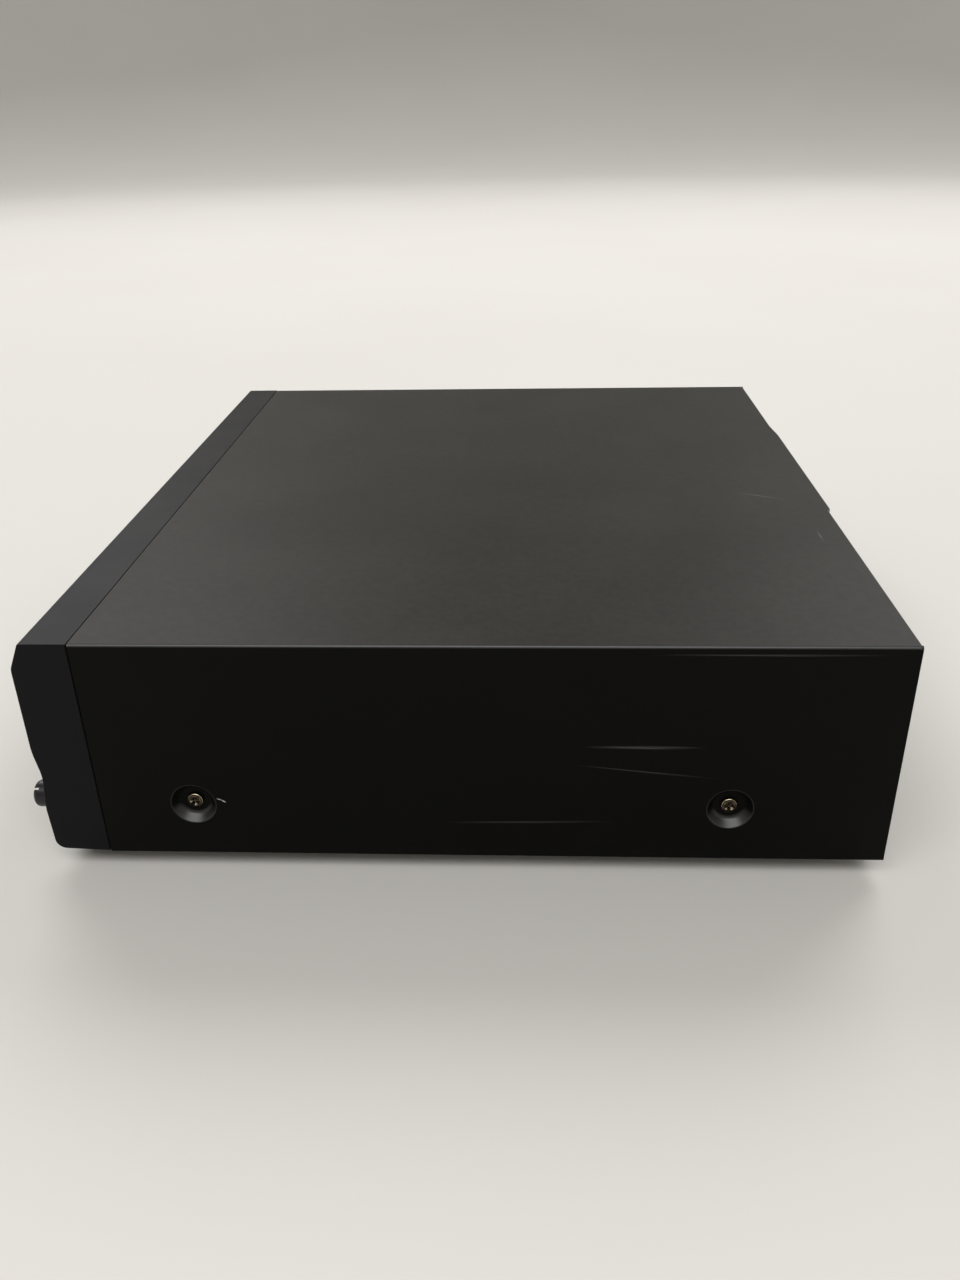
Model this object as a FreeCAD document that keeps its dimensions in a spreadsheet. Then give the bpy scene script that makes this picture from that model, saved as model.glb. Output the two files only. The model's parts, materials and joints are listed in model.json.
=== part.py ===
import FreeCAD, Part
import math
import os

import Sketcher

# A laserdisc player in millimetres. X runs across the front, +Y to the rear, +Z up; the floor is z = 0.
# Heights named "..._height" and "..._level" count from the bottom edge of the cover unless a comment says
# otherwise, and places named "..._back" count from the joint between front panel and cover, to the rear.

CASE = {
    "side_room": 59, "rear_room": 52, "head_room": 13, "foot_height": 9,
    "cover_gauge": 1, "cover_bend": 1.5, "seam_gap": 0.5, "lip_height": 12,
    "tab_proud": 1.5, "tab_far_end": 106, "tab_far_slope": 21, "tab_near_end": 54, "tab_near_slope": 4,
    "dish_radius": 10.25, "dish_floor_radius": 7.2, "dish_depth": 4,
    "dish_front_back": 43, "dish_rear_margin": 70.4, "dish_level": 27,
    "chassis_gauge": 1.2, "chassis_flange": 14, "chassis_ear_width": 24, "chassis_ear_over": 9,
    "chassis_front_back": 2, "rear_gauge": 1, "edge_gap": 0.4,
    "vent_length": 42, "vent_width": 3, "vent_pitch": 9, "vent_back": 70, "vent_side": 112,
    "foot_radius": 22, "foot_neck_radius": 18, "foot_room": 9, "foot_front_back": 45,
    "foot_rear_margin": 48, "pad_radius": 15, "pad_depth": 2, "pad_seat": 1, "foot_bore_depth": 4,
    "post_radius": 3,
}

SCREWS = {
    "side_head_radius": 4.3, "side_head_depth": 2.2, "side_shaft_radius": 1.9, "side_shaft_length": 9,
    "cross_width": 1, "cross_length": 4.6, "cross_depth": 1.3, "head_round": 0.8,
    "rear_head_radius": 3.2, "rear_head_depth": 1.8, "rear_shaft_radius": 1.4, "rear_shaft_length": 6,
    "rear_screw_margin": 35, "rear_screw_inner": 118, "rear_screw_drop": 6,
    "foot_head_radius": 4, "foot_shaft_radius": 1.9, "foot_shaft_length": 9, "screw_play": 0.1,
}

FRONT = {
    "panel_top_depth": 20.7, "panel_reach": 26, "knee_drop": 12.1, "belly_height": 54,
    "waist_reach": 23.8, "waist_height": 41, "chin_reach": 25.8, "chin_height": 25,
    "toe_reach": 24.9, "toe_height": 1.2, "heel_height": 0.3, "panel_wall": 2.5,
    "brow_radius": 1.2, "knee_radius": 8, "belly_radius": 25, "waist_radius": 20, "chin_radius": 30,
    "toe_radius": 5, "door_overlap": 10, "door_height": 35.2, "door_bottom": 56.4, "door_gap": 0.4,
    "door_thickness": 3, "window_margin": 5, "window_height": 21, "window_bottom": 12.5,
    "window_gap": 0.3, "window_thickness": 2.2, "window_recess": 0.8,
    "tube_margin": 6, "tube_height": 17, "tube_depth": 6,
    "board_gauge": 1.6, "front_board_back": 8, "front_board_bottom": 5, "front_board_height": 38,
    "front_board_margin": 4, "boss_radius": 3, "boss_level": 35.5, "boss_margin": 22,
    "control_level": 22.4, "button_level": 17, "button_height": 7, "button_width": 14,
    "wide_button_width": 20, "button_gap": 0.4, "button_reach": 27.2, "button_flange": 1.2,
    "flange_reach": 21.4, "flange_depth": 1.4, "button_stem_radius": 2, "button_round": 0.8,
    "switch_side": 6, "switch_depth": 4, "plunger_radius": 1.6,
    "plunger_length": 1.2, "stem_gap": 0.9, "power_button_margin": 26, "open_button_pitch": 34,
    "button_pitch": 18, "play_button_pitch": 21, "play_knob_pitch": 47,
    "knob_margin": 14, "knob_reach": 35.5, "knob_radius": 6.3, "knob_round": 2.4, "knob_skirt_radius": 7.3,
    "knob_skirt_depth": 1.4, "knob_stand_off": 0.5, "knob_stem_radius": 3, "knob_stem_end": 11.5,
    "knob_hole_play": 0.5, "pot_side": 11, "pot_depth": 8, "pot_bush_radius": 4.2, "pot_bush_length": 4,
    "bearing_play": 0.05,
    "phone_pitch": 22, "phone_bore": 3.2, "phone_bush_radius": 5, "phone_reach": 27, "phone_body_width": 13,
    "phone_body_height": 15, "phone_body_reach": 20.5, "phone_end": 1.4,
}

REAR = {
    "jack_reach": 9, "jack_level": 34, "jack_row_pitch": 18, "jack_pitch": 18, "jack_first": 62,
    "jack_flange_radius": 5.6, "jack_flange_depth": 1.2, "jack_barrel_radius": 4.15, "jack_core_radius": 1.6,
    "jack_body_side": 10, "jack_body_depth": 12, "jack_neck_radius": 4.6, "video_pitch": 24,
    "video_radius": 6, "video_reach": 2.5, "video_bore": 4.6, "video_bore_depth": 7,
    "video_key": 1.4, "video_pin_radius": 0.35, "video_pin_side": 1.96, "video_pin_low": 0.28,
    "video_pin_high": 2.38, "control_pitch": 24, "control_bore": 1.8, "control_bush_radius": 3.6,
    "control_reach": 1.6, "control_depth": 13,
    "inlet_margin": 60, "inlet_level": 44, "inlet_width": 26, "inlet_height": 18, "inlet_flange": 2,
    "inlet_body_width": 22, "inlet_body_height": 14, "inlet_depth": 18, "inlet_bay_width": 18,
    "inlet_bay_height": 9.6, "inlet_bay_depth": 15, "inlet_bay_round": 2.4,
    "pin_radius": 1.2, "pin_pitch": 8.6, "pin_length": 11,
}

BOARDS = {
    "board_level": 7, "main_board_margin": 6, "main_board_front": 26,
    "main_board_rear_margin": 35, "post_clear": 2, "power_board_margin": 4, "power_board_width": 66,
    "board_gap": 20, "power_board_front": 62, "power_board_rear": 246, "board_post_inset": 6,
    "chip_height": 2.8, "chip_large": 28, "chip_small": 15,
    "can_radius": 4, "can_height": 11, "bulk_can_radius": 12, "bulk_can_height": 30,
    "core_width": 56, "core_depth": 22, "core_height": 46, "coil_depth": 44, "coil_width": 34,
    "coil_height": 30, "transformer_rear_margin": 85, "transformer_margin": 34, "transformer_foot": 3,
    "sink_length": 80, "sink_height": 30, "sink_web": 3, "sink_fin": 1.2, "sink_fin_reach": 14,
    "sink_fin_pitch": 6.5, "sink_inset": 6, "sink_back": 80,
    "ribbon_width": 32, "ribbon_gauge": 0.6, "ribbon_level": 21, "ribbon_back": 40, "ribbon_bend": 5,
    "ribbon_side": 20,
}

FRAME = {
    "frame_room": 11, "frame_gauge": 1.2, "frame_front_back": 4, "frame_rear_margin": 15,
    "frame_foot_width": 18, "frame_head_width": 18,
    "guide_bottom": 58, "guide_height": 14, "guide_base": 3, "guide_tip_gap": 1.2, "guide_shelf": 2.6,
    "deck_half_width": 104, "deck_front_back": 6, "deck_room": 27, "deck_level": 35,
    "deck_gauge": 2, "damper_radius": 8, "damper_height": 8, "damper_side": 90,
    "damper_front_back": 48, "damper_room": 9, "deck_post_radius": 4,
}

TRAY = {
    "disc_radius": 151, "disc_forward": 1, "tray_side": 4, "tray_room": 39, "tray_bottom": 63.9,
    "tray_floor": 2.6, "tray_rim_height": 11.1, "tray_skin": 2.6, "tray_flange": 7.5,
    "tray_play": 0.3, "single_radius": 101, "small_radius": 61,
    "recess_step": 0.8, "slot_half_width": 46, "tray_front_inset": 3,
    "tray_front_top": 86, "tray_front_bottom": 58,
    "rack_inset": 50, "rack_width": 6, "rack_height": 6, "rack_front_back": 14, "rack_room": 27,
    "rack_module": 1.2,
}

DRIVE = {
    "drive_back": 20, "pinion_teeth": 16, "wheel_teeth": 50, "wheel_module": 0.8, "small_teeth": 14,
    "wheel_level": 49, "wheel_width": 4, "pinion_top": 63, "mesh_slack": 0.15,
    "pulley_level": 41, "pulley_seat": 15.5, "pulley_rim": 17, "pulley_width": 5, "pulley_cheek": 1,
    "motor_seat": 4, "motor_rim": 5.5, "motor_pulley_gap": 45, "belt_play": 0.3, "belt_gauge": 1.2,
    "belt_width": 2.4, "pin_shaft_radius": 1.5, "collar_radius": 3, "loading_can_radius": 12,
    "loading_can_height": 24, "motor_neck_radius": 3, "motor_shaft_radius": 1, "shaft_play": 0.05,
    "hub_gap": 0.3, "tooth_share": 0.42, "tooth_above": 0.9, "tooth_below": 1.15, "pressure_angle": 20,
}

SPINDLE = {
    "spindle_can_radius": 28, "spindle_can_height": 16, "spindle_boss_radius": 9, "spindle_boss_top": 56,
    "spindle_shaft_radius": 2, "spindle_shaft_floor": 2, "table_bottom": 60, "table_top": 68,
    "table_radius": 22, "hub_radius": 17.3, "hub_height": 2.5, "cone_radius": 7.4, "cone_tip_radius": 5.55,
    "cone_height": 2, "mat_inner_radius": 18.5, "mat_depth": 0.8, "mat_proud": 0.2, "table_web": 3,
    "table_rim": 1.5, "table_hub_radius": 8,
    "bridge_over": 43, "bridge_room": 19, "bridge_gauge": 1.6, "bridge_overhang": 18,
    "bridge_lip": 6, "lug_side": 40, "lug_gauge": 2, "lug_radius": 5, "hinge_over": 25, "hinge_drop": 5,
    "hinge_pin_radius": 1.5, "hinge_pin_length": 9, "arm_gauge": 2, "arm_room": 15, "bridge_rise": 12,
    "arm_nose_radius": 24, "arm_nose_round": 21.6, "arm_hole_radius": 12.5, "puck_radius": 30,
    "puck_rim_height": 8, "puck_recess_radius": 19, "puck_neck_radius": 11, "cap_radius": 16,
    "cap_height": 2.4, "clamp_gap": 0.3, "arm_side_gap": 0.4,
}

PICKUP = {
    "guide_radius": 3, "guide_side": 34, "guide_level": 43, "track_margin": 10.5,
    "carriage_start": 23, "carriage_length": 30, "carriage_half_width": 24, "carriage_height": 15,
    "carriage_floor": 39, "sleeve_radius": 5.2, "sleeve_play": 0.05, "lens_centre": 28.5,
    "lens_radius": 3, "lens_ring_radius": 4.6, "lens_tower_top": 65.5, "lens_depth": 1.6,
    "lens_skirt_depth": 6.4, "guide_block_length": 6, "guide_block_width": 14, "guide_block_over": 4,
    "guide_front_start": 12, "guide_stop_gap": 1.5,
    "feed_rack_side": 47, "feed_rack_width": 5, "feed_rack_height": 4, "feed_rack_level": 41,
    "feed_gear_start": 50, "feed_module": 0.8, "feed_pinion_teeth": 16,
    "feed_wheel_teeth": 45, "feed_wheel_module": 0.6, "feed_small_teeth": 12, "feed_wheel_level": 46.5,
    "feed_wheel_width": 3, "feed_can_radius": 12, "feed_can_height": 20,
}

# Counts, and places as shares of a board's width and depth.
VENT_COUNT = 12
FIN_COUNT = 12
PHONO_COLUMNS = 3
LARGE_CHIPS = ((0.62, 0.3), (0.78, 0.45), (0.66, 0.8))
SMALL_CHIPS = ((0.62, 0.6), (0.8, 0.66), (0.86, 0.25), (0.2, 0.2), (0.24, 0.72))
CANS = ((0.9, 0.4), (0.9, 0.5), (0.9, 0.6), (0.9, 0.8), (0.72, 0.92), (0.55, 0.92))
BULK_CANS = (0.72, 0.88)
SMALL_BUTTONS = ("skip_back_button", "skip_forward_button", "pause_button", "stop_button")

doc = FreeCAD.newDocument("laserdisc_player")
sheet = doc.addObject("Spreadsheet::Sheet", "sizes")


class Size:
    """A size: its number, and the formula over the sheet's cells that gives it."""

    def __init__(self, number, formula):
        self.number = number
        self.formula = formula

    def __add__(self, other):
        return joined(self, "+", other)

    def __radd__(self, other):
        return joined(other, "+", self)

    def __sub__(self, other):
        return joined(self, "-", other)

    def __rsub__(self, other):
        return joined(other, "-", self)

    def __mul__(self, other):
        return joined(self, "*", other)

    def __rmul__(self, other):
        return joined(other, "*", self)

    def __truediv__(self, other):
        return joined(self, "/", other)

    def __neg__(self):
        return joined(0, "-", self)


class Sizes:
    """The sheet's cells by name."""


def as_size(value):
    return value if isinstance(value, Size) else Size(float(value), repr(value))


def joined(left, sign, right):
    left, right = as_size(left), as_size(right)
    numbers = {
        "+": left.number + right.number,
        "-": left.number - right.number,
        "*": left.number * right.number,
        "/": left.number / right.number if right.number else math.inf,
    }
    return Size(numbers[sign], f"({left.formula} {sign} {right.formula})")


def number(value):
    return as_size(value).number


def add_cell(name, text, value):
    """Write one cell with its alias and give it back as a size."""
    row = sheet_rows[0]
    sheet_rows[0] += 1
    sheet.set(f"A{row}", name)
    sheet.set(f"B{row}", text)
    sheet.setAlias(f"B{row}", name)
    size = Size(float(value), "sizes." + name)
    setattr(z, name, size)
    return size


def derive(name, size):
    """Write a cell whose formula follows other cells."""
    return add_cell(name, "=" + size.formula.replace("sizes.", ""), size.number)


sheet_rows = [1]
z = Sizes()
for table in (CASE, SCREWS, FRONT, REAR, BOARDS, FRAME, TRAY, DRIVE, SPINDLE, PICKUP):
    for cell_name, cell_value in table.items():
        add_cell(cell_name, str(cell_value), cell_value)
doc.recompute()

nodes = {}


def tie(piece, prop, value):
    """Set a property, and bind it to the sheet where the value comes from there."""
    if isinstance(value, Size):
        piece.setExpression(prop, value.formula)
    else:
        setattr(piece, prop, value)


def place(piece, at, turn=None):
    turn = turn or FreeCAD.Rotation()
    piece.Placement = FreeCAD.Placement(FreeCAD.Vector(*[number(v) for v in at]), turn)
    for axis, value in zip("xyz", at):
        if isinstance(value, Size):
            piece.setExpression("Placement.Base." + axis, value.formula)
    return piece


def pointing(axis):
    """The rotation that carries +Z onto an axis such as "-x"."""
    sign = -1 if axis.startswith("-") else 1
    steps = {"x": (sign, 0, 0), "y": (0, sign, 0), "z": (0, 0, sign)}[axis[-1]]
    return FreeCAD.Rotation(FreeCAD.Vector(0, 0, 1), FreeCAD.Vector(*steps))


def box(name, size, at):
    piece = doc.addObject("Part::Box", name)
    for prop, value in zip(("Length", "Width", "Height"), size):
        tie(piece, prop, value)
    return place(piece, at)


def rod(name, radius, length, at, axis="z"):
    piece = doc.addObject("Part::Cylinder", name)
    tie(piece, "Radius", radius)
    tie(piece, "Height", length)
    return place(piece, at, pointing(axis))


def cone(name, base_radius, top_radius, length, at, axis="z"):
    piece = doc.addObject("Part::Cone", name)
    tie(piece, "Radius1", base_radius)
    tie(piece, "Radius2", top_radius)
    tie(piece, "Height", length)
    return place(piece, at, pointing(axis))


def fuse(name, *pieces):
    piece = doc.addObject("Part::MultiFuse", name)
    piece.Shapes = list(pieces)
    return piece


def cut(name, base, *tools):
    piece = doc.addObject("Part::Cut", name)
    piece.Base = base
    piece.Tool = tools[0] if len(tools) == 1 else fuse(name + "_tools", *tools)
    return piece


def group(name, *pieces):
    """Like pieces that stay separate solids in one node."""
    piece = doc.addObject("Part::Compound", name)
    piece.Links = list(pieces)
    return piece


def bind(sketch, kind, *where, value):
    """A sketch dimension tied to the sheet."""
    index = sketch.addConstraint(Sketcher.Constraint(kind, *where, number(value)))
    if isinstance(value, Size):
        sketch.setExpression(f"Constraints[{index}]", value.formula)


def rounded_corner(before, corner, after, radius):
    """The two tangent points and the centre of an arc that rounds a corner."""
    back = (before - corner).normalize()
    on = (after - corner).normalize()
    half = back.getAngle(on) / 2
    reach = radius / math.tan(half)
    centre = corner + (back + on).normalize() * (radius / math.sin(half))
    return corner + back * reach, corner + on * reach, centre


def outline(body, plane, corners):
    """A closed sketch through corners (u, v) or (u, v, radius) on one of the body's own planes."""
    sketch = body.newObject("Sketcher::SketchObject", body.Name + "_outline")
    support = [f for f in body.Origin.OriginFeatures if f.Role == plane + "_Plane"][0]
    sketch.AttachmentSupport = [(support, "")]
    sketch.MapMode = "FlatFace"
    spots = [FreeCAD.Vector(number(c[0]), number(c[1]), 0) for c in corners]
    count = len(corners)
    entries, exits, arcs = list(spots), list(spots), {}
    for i, corner in enumerate(corners):
        if len(corner) == 3:
            near, far = spots[i - 1], spots[(i + 1) % count]
            entries[i], exits[i], centre = rounded_corner(near, spots[i], far, number(corner[2]))
            arcs[i] = centre
    for i in range(count):
        sketch.addGeometry(Part.LineSegment(exits[i], entries[(i + 1) % count]), False)
    for i, corner in enumerate(corners):
        before = (i - 1) % count
        if i not in arcs:
            sketch.addConstraint(Sketcher.Constraint("Coincident", before, 2, i, 1))
            bind(sketch, "DistanceX", -1, 1, i, 1, value=corner[0])
            bind(sketch, "DistanceY", -1, 1, i, 1, value=corner[1])
            continue
        point = sketch.addGeometry(Part.Point(spots[i]), True)
        bind(sketch, "DistanceX", -1, 1, point, 1, value=corner[0])
        bind(sketch, "DistanceY", -1, 1, point, 1, value=corner[1])
        for line in (before, i):
            sketch.addConstraint(Sketcher.Constraint("PointOnObject", point, 1, line))
        left_turn = (entries[i] - arcs[i]).cross(exits[i] - arcs[i]).z > 0
        first, last = (entries[i], exits[i]) if left_turn else (exits[i], entries[i])
        angles = [math.atan2(p.y - arcs[i].y, p.x - arcs[i].x) for p in (first, last)]
        circle = Part.Circle(arcs[i], FreeCAD.Vector(0, 0, 1), number(corner[2]))
        arc = sketch.addGeometry(Part.ArcOfCircle(circle, *angles), False)
        start, end = (1, 2) if left_turn else (2, 1)
        sketch.addConstraint(Sketcher.Constraint("Tangent", before, 2, arc, start))
        sketch.addConstraint(Sketcher.Constraint("Tangent", arc, end, i, 1))
        bind(sketch, "Radius", arc, value=corner[2])
    return sketch


def prism(name, plane, corners, length, start):
    """A padded outline: XY pads up from z = start, XZ to the rear from y = start, YZ to +X from x = start."""
    body = doc.addObject("PartDesign::Body", name)
    pad = body.newObject("PartDesign::Pad", name + "_pad")
    pad.Profile = outline(body, plane, corners)
    tie(pad, "Length", length)
    pad.Reversed = plane == "XZ"
    at = {"XY": (0, 0, start), "XZ": (0, start, 0), "YZ": (start, 0, 0)}[plane]
    return place(body, at)


def turned(name, corners, at, axis="z"):
    """A lathe-turned piece from its half outline of (radius, distance along the axis)."""
    body = doc.addObject("PartDesign::Body", name)
    turning = body.newObject("PartDesign::Revolution", name + "_turning")
    sketch = outline(body, "XZ", corners)
    turning.Profile = sketch
    turning.ReferenceAxis = (sketch, ["V_Axis"])
    turning.Angle = 360
    return place(body, at, pointing(axis))


def built(name, shape, at):
    """A piece whose outline comes from a formula, such as a gear."""
    piece = doc.addObject("Part::Feature", name)
    piece.Shape = shape
    return place(piece, at)


def node(name, piece, solids=1):
    piece.Label = name
    nodes[name] = (piece, solids)
    return piece


# Sizes that follow others: the case goes round the disc, and what hangs on its sides follows it.
derive("half_case", z.disc_radius + z.side_room)
derive("case_width", z.half_case * 2)
derive("spindle_back", z.disc_radius - z.disc_forward)
derive("disc_back", z.spindle_back + z.disc_radius)
derive("cover_depth", z.disc_back + z.rear_room)
derive("arm_level", z.table_top + z.arm_room)
derive("frame_top", z.arm_level + z.bridge_rise)
derive("cover_height", z.frame_top + z.head_room)
derive("knee_height", z.cover_height - z.knee_drop)
derive("dish_rear_back", z.cover_depth - z.dish_rear_margin)
derive("foot_side", z.disc_radius + z.foot_room)
derive("foot_rear_back", z.cover_depth - z.foot_rear_margin)
derive("rear_screw_outer", z.half_case - z.rear_screw_margin)
derive("tray_half_width", z.disc_radius + z.tray_side)
derive("tray_rear_back", z.disc_back + z.tray_room)
derive("tray_front_width", (z.tray_half_width - z.tray_front_inset) * 2)
derive("door_width", (z.tray_half_width + z.door_overlap) * 2)
derive("rack_side", z.tray_half_width - z.rack_inset)
derive("rack_rear_back", z.disc_back + z.rack_room)
derive("frame_side", z.tray_half_width + z.frame_room)
derive("frame_rear_back", z.cover_depth - z.frame_rear_margin)
derive("deck_rear_back", z.disc_back + z.deck_room)
derive("damper_rear_back", z.disc_back + z.damper_room)
derive("bridge_front_back", z.disc_back - z.bridge_over)
derive("bridge_rear_back", z.disc_back + z.bridge_room)
derive("bridge_half_width", z.frame_side + z.bridge_overhang)
derive("hinge_behind", z.disc_radius - z.hinge_over)
derive("hinge_back", z.spindle_back + z.hinge_behind)
derive("carriage_travel", z.disc_radius - z.lens_centre - z.track_margin)
derive("feed_rack_lead", z.carriage_travel - z.feed_gear_start)
derive("knob_side", z.half_case - z.knob_margin)
derive("phone_side", z.knob_side - z.phone_pitch)
derive("play_button_side", z.knob_side - z.play_knob_pitch)
derive("first_button_side",
       z.play_button_side - z.play_button_pitch - z.button_pitch * (len(SMALL_BUTTONS) - 1))
derive("power_button_side", z.half_case - z.power_button_margin)
derive("open_button_side", z.power_button_side - z.open_button_pitch)
derive("window_width", (z.first_button_side - z.button_width / 2 - z.window_margin) * 2)
derive("tube_width", z.window_width - z.tube_margin * 2)
derive("boss_outer", z.half_case - z.boss_margin)
derive("boss_inner", z.first_button_side + z.button_pitch)
derive("video_side", z.jack_first + z.jack_pitch * (PHONO_COLUMNS - 1) + z.video_pitch)
derive("control_side", z.video_side + z.control_pitch)
derive("inlet_side", z.half_case - z.inlet_margin)
derive("main_board_right", z.frame_side - z.main_board_margin)
derive("main_board_rear", z.cover_depth - z.main_board_rear_margin)
derive("power_board_outer", z.frame_side - z.power_board_margin)
derive("power_board_inner", z.power_board_outer - z.power_board_width)
derive("main_board_left", z.power_board_inner - z.board_gap)
derive("transformer_back", z.cover_depth - z.transformer_rear_margin)
derive("transformer_side", z.frame_side - z.transformer_margin)
derive("sink_side", z.power_board_outer - z.sink_inset)

# Places that several pieces share.
joint_back = derive(
    "joint_back", -(z.cover_depth - z.cover_gauge + z.jack_reach - z.knob_reach) / 2
)
cover_top = derive("cover_top", z.foot_height + z.cover_height)
rear_edge = derive("rear_edge", joint_back + z.cover_depth)
rear_face = derive("rear_face", rear_edge - z.cover_gauge)
floor_top = derive("floor_top", z.foot_height + z.chassis_gauge)
half_chassis = derive("half_chassis", z.half_case - z.dish_depth - z.cover_gauge)
board_bottom = derive("board_bottom", z.foot_height + z.board_level)
board_top = derive("board_top", board_bottom + z.board_gauge)
deck_bottom = derive("deck_bottom", z.foot_height + z.deck_level)
deck_top = derive("deck_top", deck_bottom + z.deck_gauge)
spindle_y = derive("spindle_y", joint_back + z.spindle_back)
tray_bottom_z = derive("tray_bottom_z", z.foot_height + z.tray_bottom)
front_board_front = derive("front_board_front", joint_back - z.front_board_back - z.board_gauge)
button_z = derive("button_z", z.foot_height + z.button_level)
control_z = derive("control_z", z.foot_height + z.control_level)
switch_front = derive("switch_front", front_board_front - z.switch_depth - z.plunger_length)


def back(distance):
    """A place counted from the joint of panel and cover to the rear."""
    return joint_back + distance


def level(height):
    """A place counted up from the bottom edge of the cover."""
    return z.foot_height + height


def cross_recess(name, at, axis):
    """The two slots of a cross-head screw, cut inwards from the head's top."""
    long_x, long_z = (z.cross_length, z.cross_width), (z.cross_width, z.cross_length)
    slots = []
    for number_of_slot, (wide, tall) in enumerate((long_x, long_z)):
        slot_name = f"{name}_slot{number_of_slot}"
        if axis in ("x", "-x"):
            size = (z.cross_depth, wide, tall)
            corner = (at[0] if axis == "-x" else at[0] - z.cross_depth, at[1] - wide / 2, at[2] - tall / 2)
        elif axis in ("y", "-y"):
            size = (wide, z.cross_depth, tall)
            corner = (at[0] - wide / 2, at[1] if axis == "-y" else at[1] - z.cross_depth, at[2] - tall / 2)
        else:
            size = (wide, tall, z.cross_depth)
            corner = (at[0] - wide / 2, at[1] - tall / 2, at[2] if axis == "-z" else at[2] - z.cross_depth)
        slots.append(box(slot_name, size, corner))
    return slots


def screw(name, head_radius, head_depth, shaft_radius, shaft_length, seat, axis):
    """A pan-head screw whose head stands on its seat towards the axis, with its shaft the other way."""
    body = turned(
        name + "_blank",
        [(0, -shaft_length), (shaft_radius, -shaft_length), (shaft_radius, 0), (head_radius, 0),
         (head_radius, head_depth, z.head_round), (0, head_depth)],
        seat, axis,
    )
    step = -1 if axis.startswith("-") else 1
    at = list(seat)
    at["xyz".index(axis[-1])] = seat["xyz".index(axis[-1])] + step * head_depth
    return cut(name, body, *cross_recess(name, at, axis))


def bar(name, x_range, y_range, z_range):
    """A box between two places on each axis."""
    size = [end - start for start, end in (x_range, y_range, z_range)]
    return box(name, size, (x_range[0], y_range[0], z_range[0]))


def rounded_plate(left, right, low, high, radius):
    """The corners of a rectangle, each rounded."""
    return [(left, low, radius), (right, low, radius), (right, high, radius), (left, high, radius)]


def dish_places():
    for side in (-1, 1):
        for where in (z.dish_front_back, z.dish_rear_back):
            yield side, back(where), level(z.dish_level)


def signed(side, value):
    return value if side > 0 else -value


def facing(side):
    """The axis name that points out of the case on a side."""
    return "x" if side > 0 else "-x"


def rear_screw_places():
    for side in (-1, 1):
        for where in (z.rear_screw_outer, z.rear_screw_inner):
            yield signed(side, where), cover_top - z.rear_screw_drop


def top_cover():
    """U-shaped painted sheet with four pressed dishes, a rear lip and the lip's proud middle."""
    inner_bend = z.cover_bend - z.cover_gauge / 2
    inside = z.half_case - z.cover_gauge
    ceiling = cover_top - z.cover_gauge
    shell = prism(
        "cover_shell", "XZ",
        [(-z.half_case, z.foot_height), (-inside, z.foot_height), (-inside, ceiling, inner_bend),
         (inside, ceiling, inner_bend), (inside, z.foot_height), (z.half_case, z.foot_height),
         (z.half_case, cover_top, z.cover_bend), (-z.half_case, cover_top, z.cover_bend)],
        z.cover_depth - z.seam_gap, joint_back + z.seam_gap,
    )
    lip = bar("cover_lip", (-inside, inside), (rear_face, rear_edge), (cover_top - z.lip_height, ceiling))
    tab_corners = [
        (-z.tab_far_end, 0), (z.tab_near_end, 0), (z.tab_near_end - z.tab_near_slope, z.tab_proud),
        (-z.tab_far_end + z.tab_far_slope, z.tab_proud),
    ]
    tab = prism("cover_tab", "XY", tab_corners, z.lip_height, cover_top - z.lip_height)
    place(tab, (0, rear_edge, cover_top - z.lip_height))
    tab_hollow = bar(
        "tab_hollow", (-z.tab_far_end + z.tab_far_slope, z.tab_near_end - z.tab_near_slope),
        (rear_face, rear_face + z.tab_proud), (cover_top - z.lip_height, ceiling),
    )
    bumps, dishes = [], []
    for i, (side, y, height) in enumerate(dish_places()):
        inward = facing(-side)
        bumps.append(cone(
            f"dish_back{i}", z.dish_radius + z.cover_gauge, z.dish_floor_radius + z.cover_gauge,
            z.dish_depth, (signed(side, inside), y, height), inward,
        ))
        dishes.append(cone(
            f"dish{i}", z.dish_radius, z.dish_floor_radius, z.dish_depth,
            (signed(side, z.half_case), y, height), inward,
        ))
        dishes.append(rod(
            f"dish_hole{i}", z.side_shaft_radius + z.screw_play, z.dish_depth + z.cover_gauge * 2,
            (signed(side, z.half_case), y, height), inward,
        ))
    holes = [
        rod(f"lip_hole{i}", z.rear_shaft_radius + z.screw_play, z.cover_gauge * 3,
            (x, rear_edge + z.cover_gauge, height), "-y")
        for i, (x, height) in enumerate(rear_screw_places())
    ]
    solid = fuse("cover_blank", shell, lip, tab, *bumps)
    return node("top_cover", cut("top_cover", solid, tab_hollow, *dishes, *holes))


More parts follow.
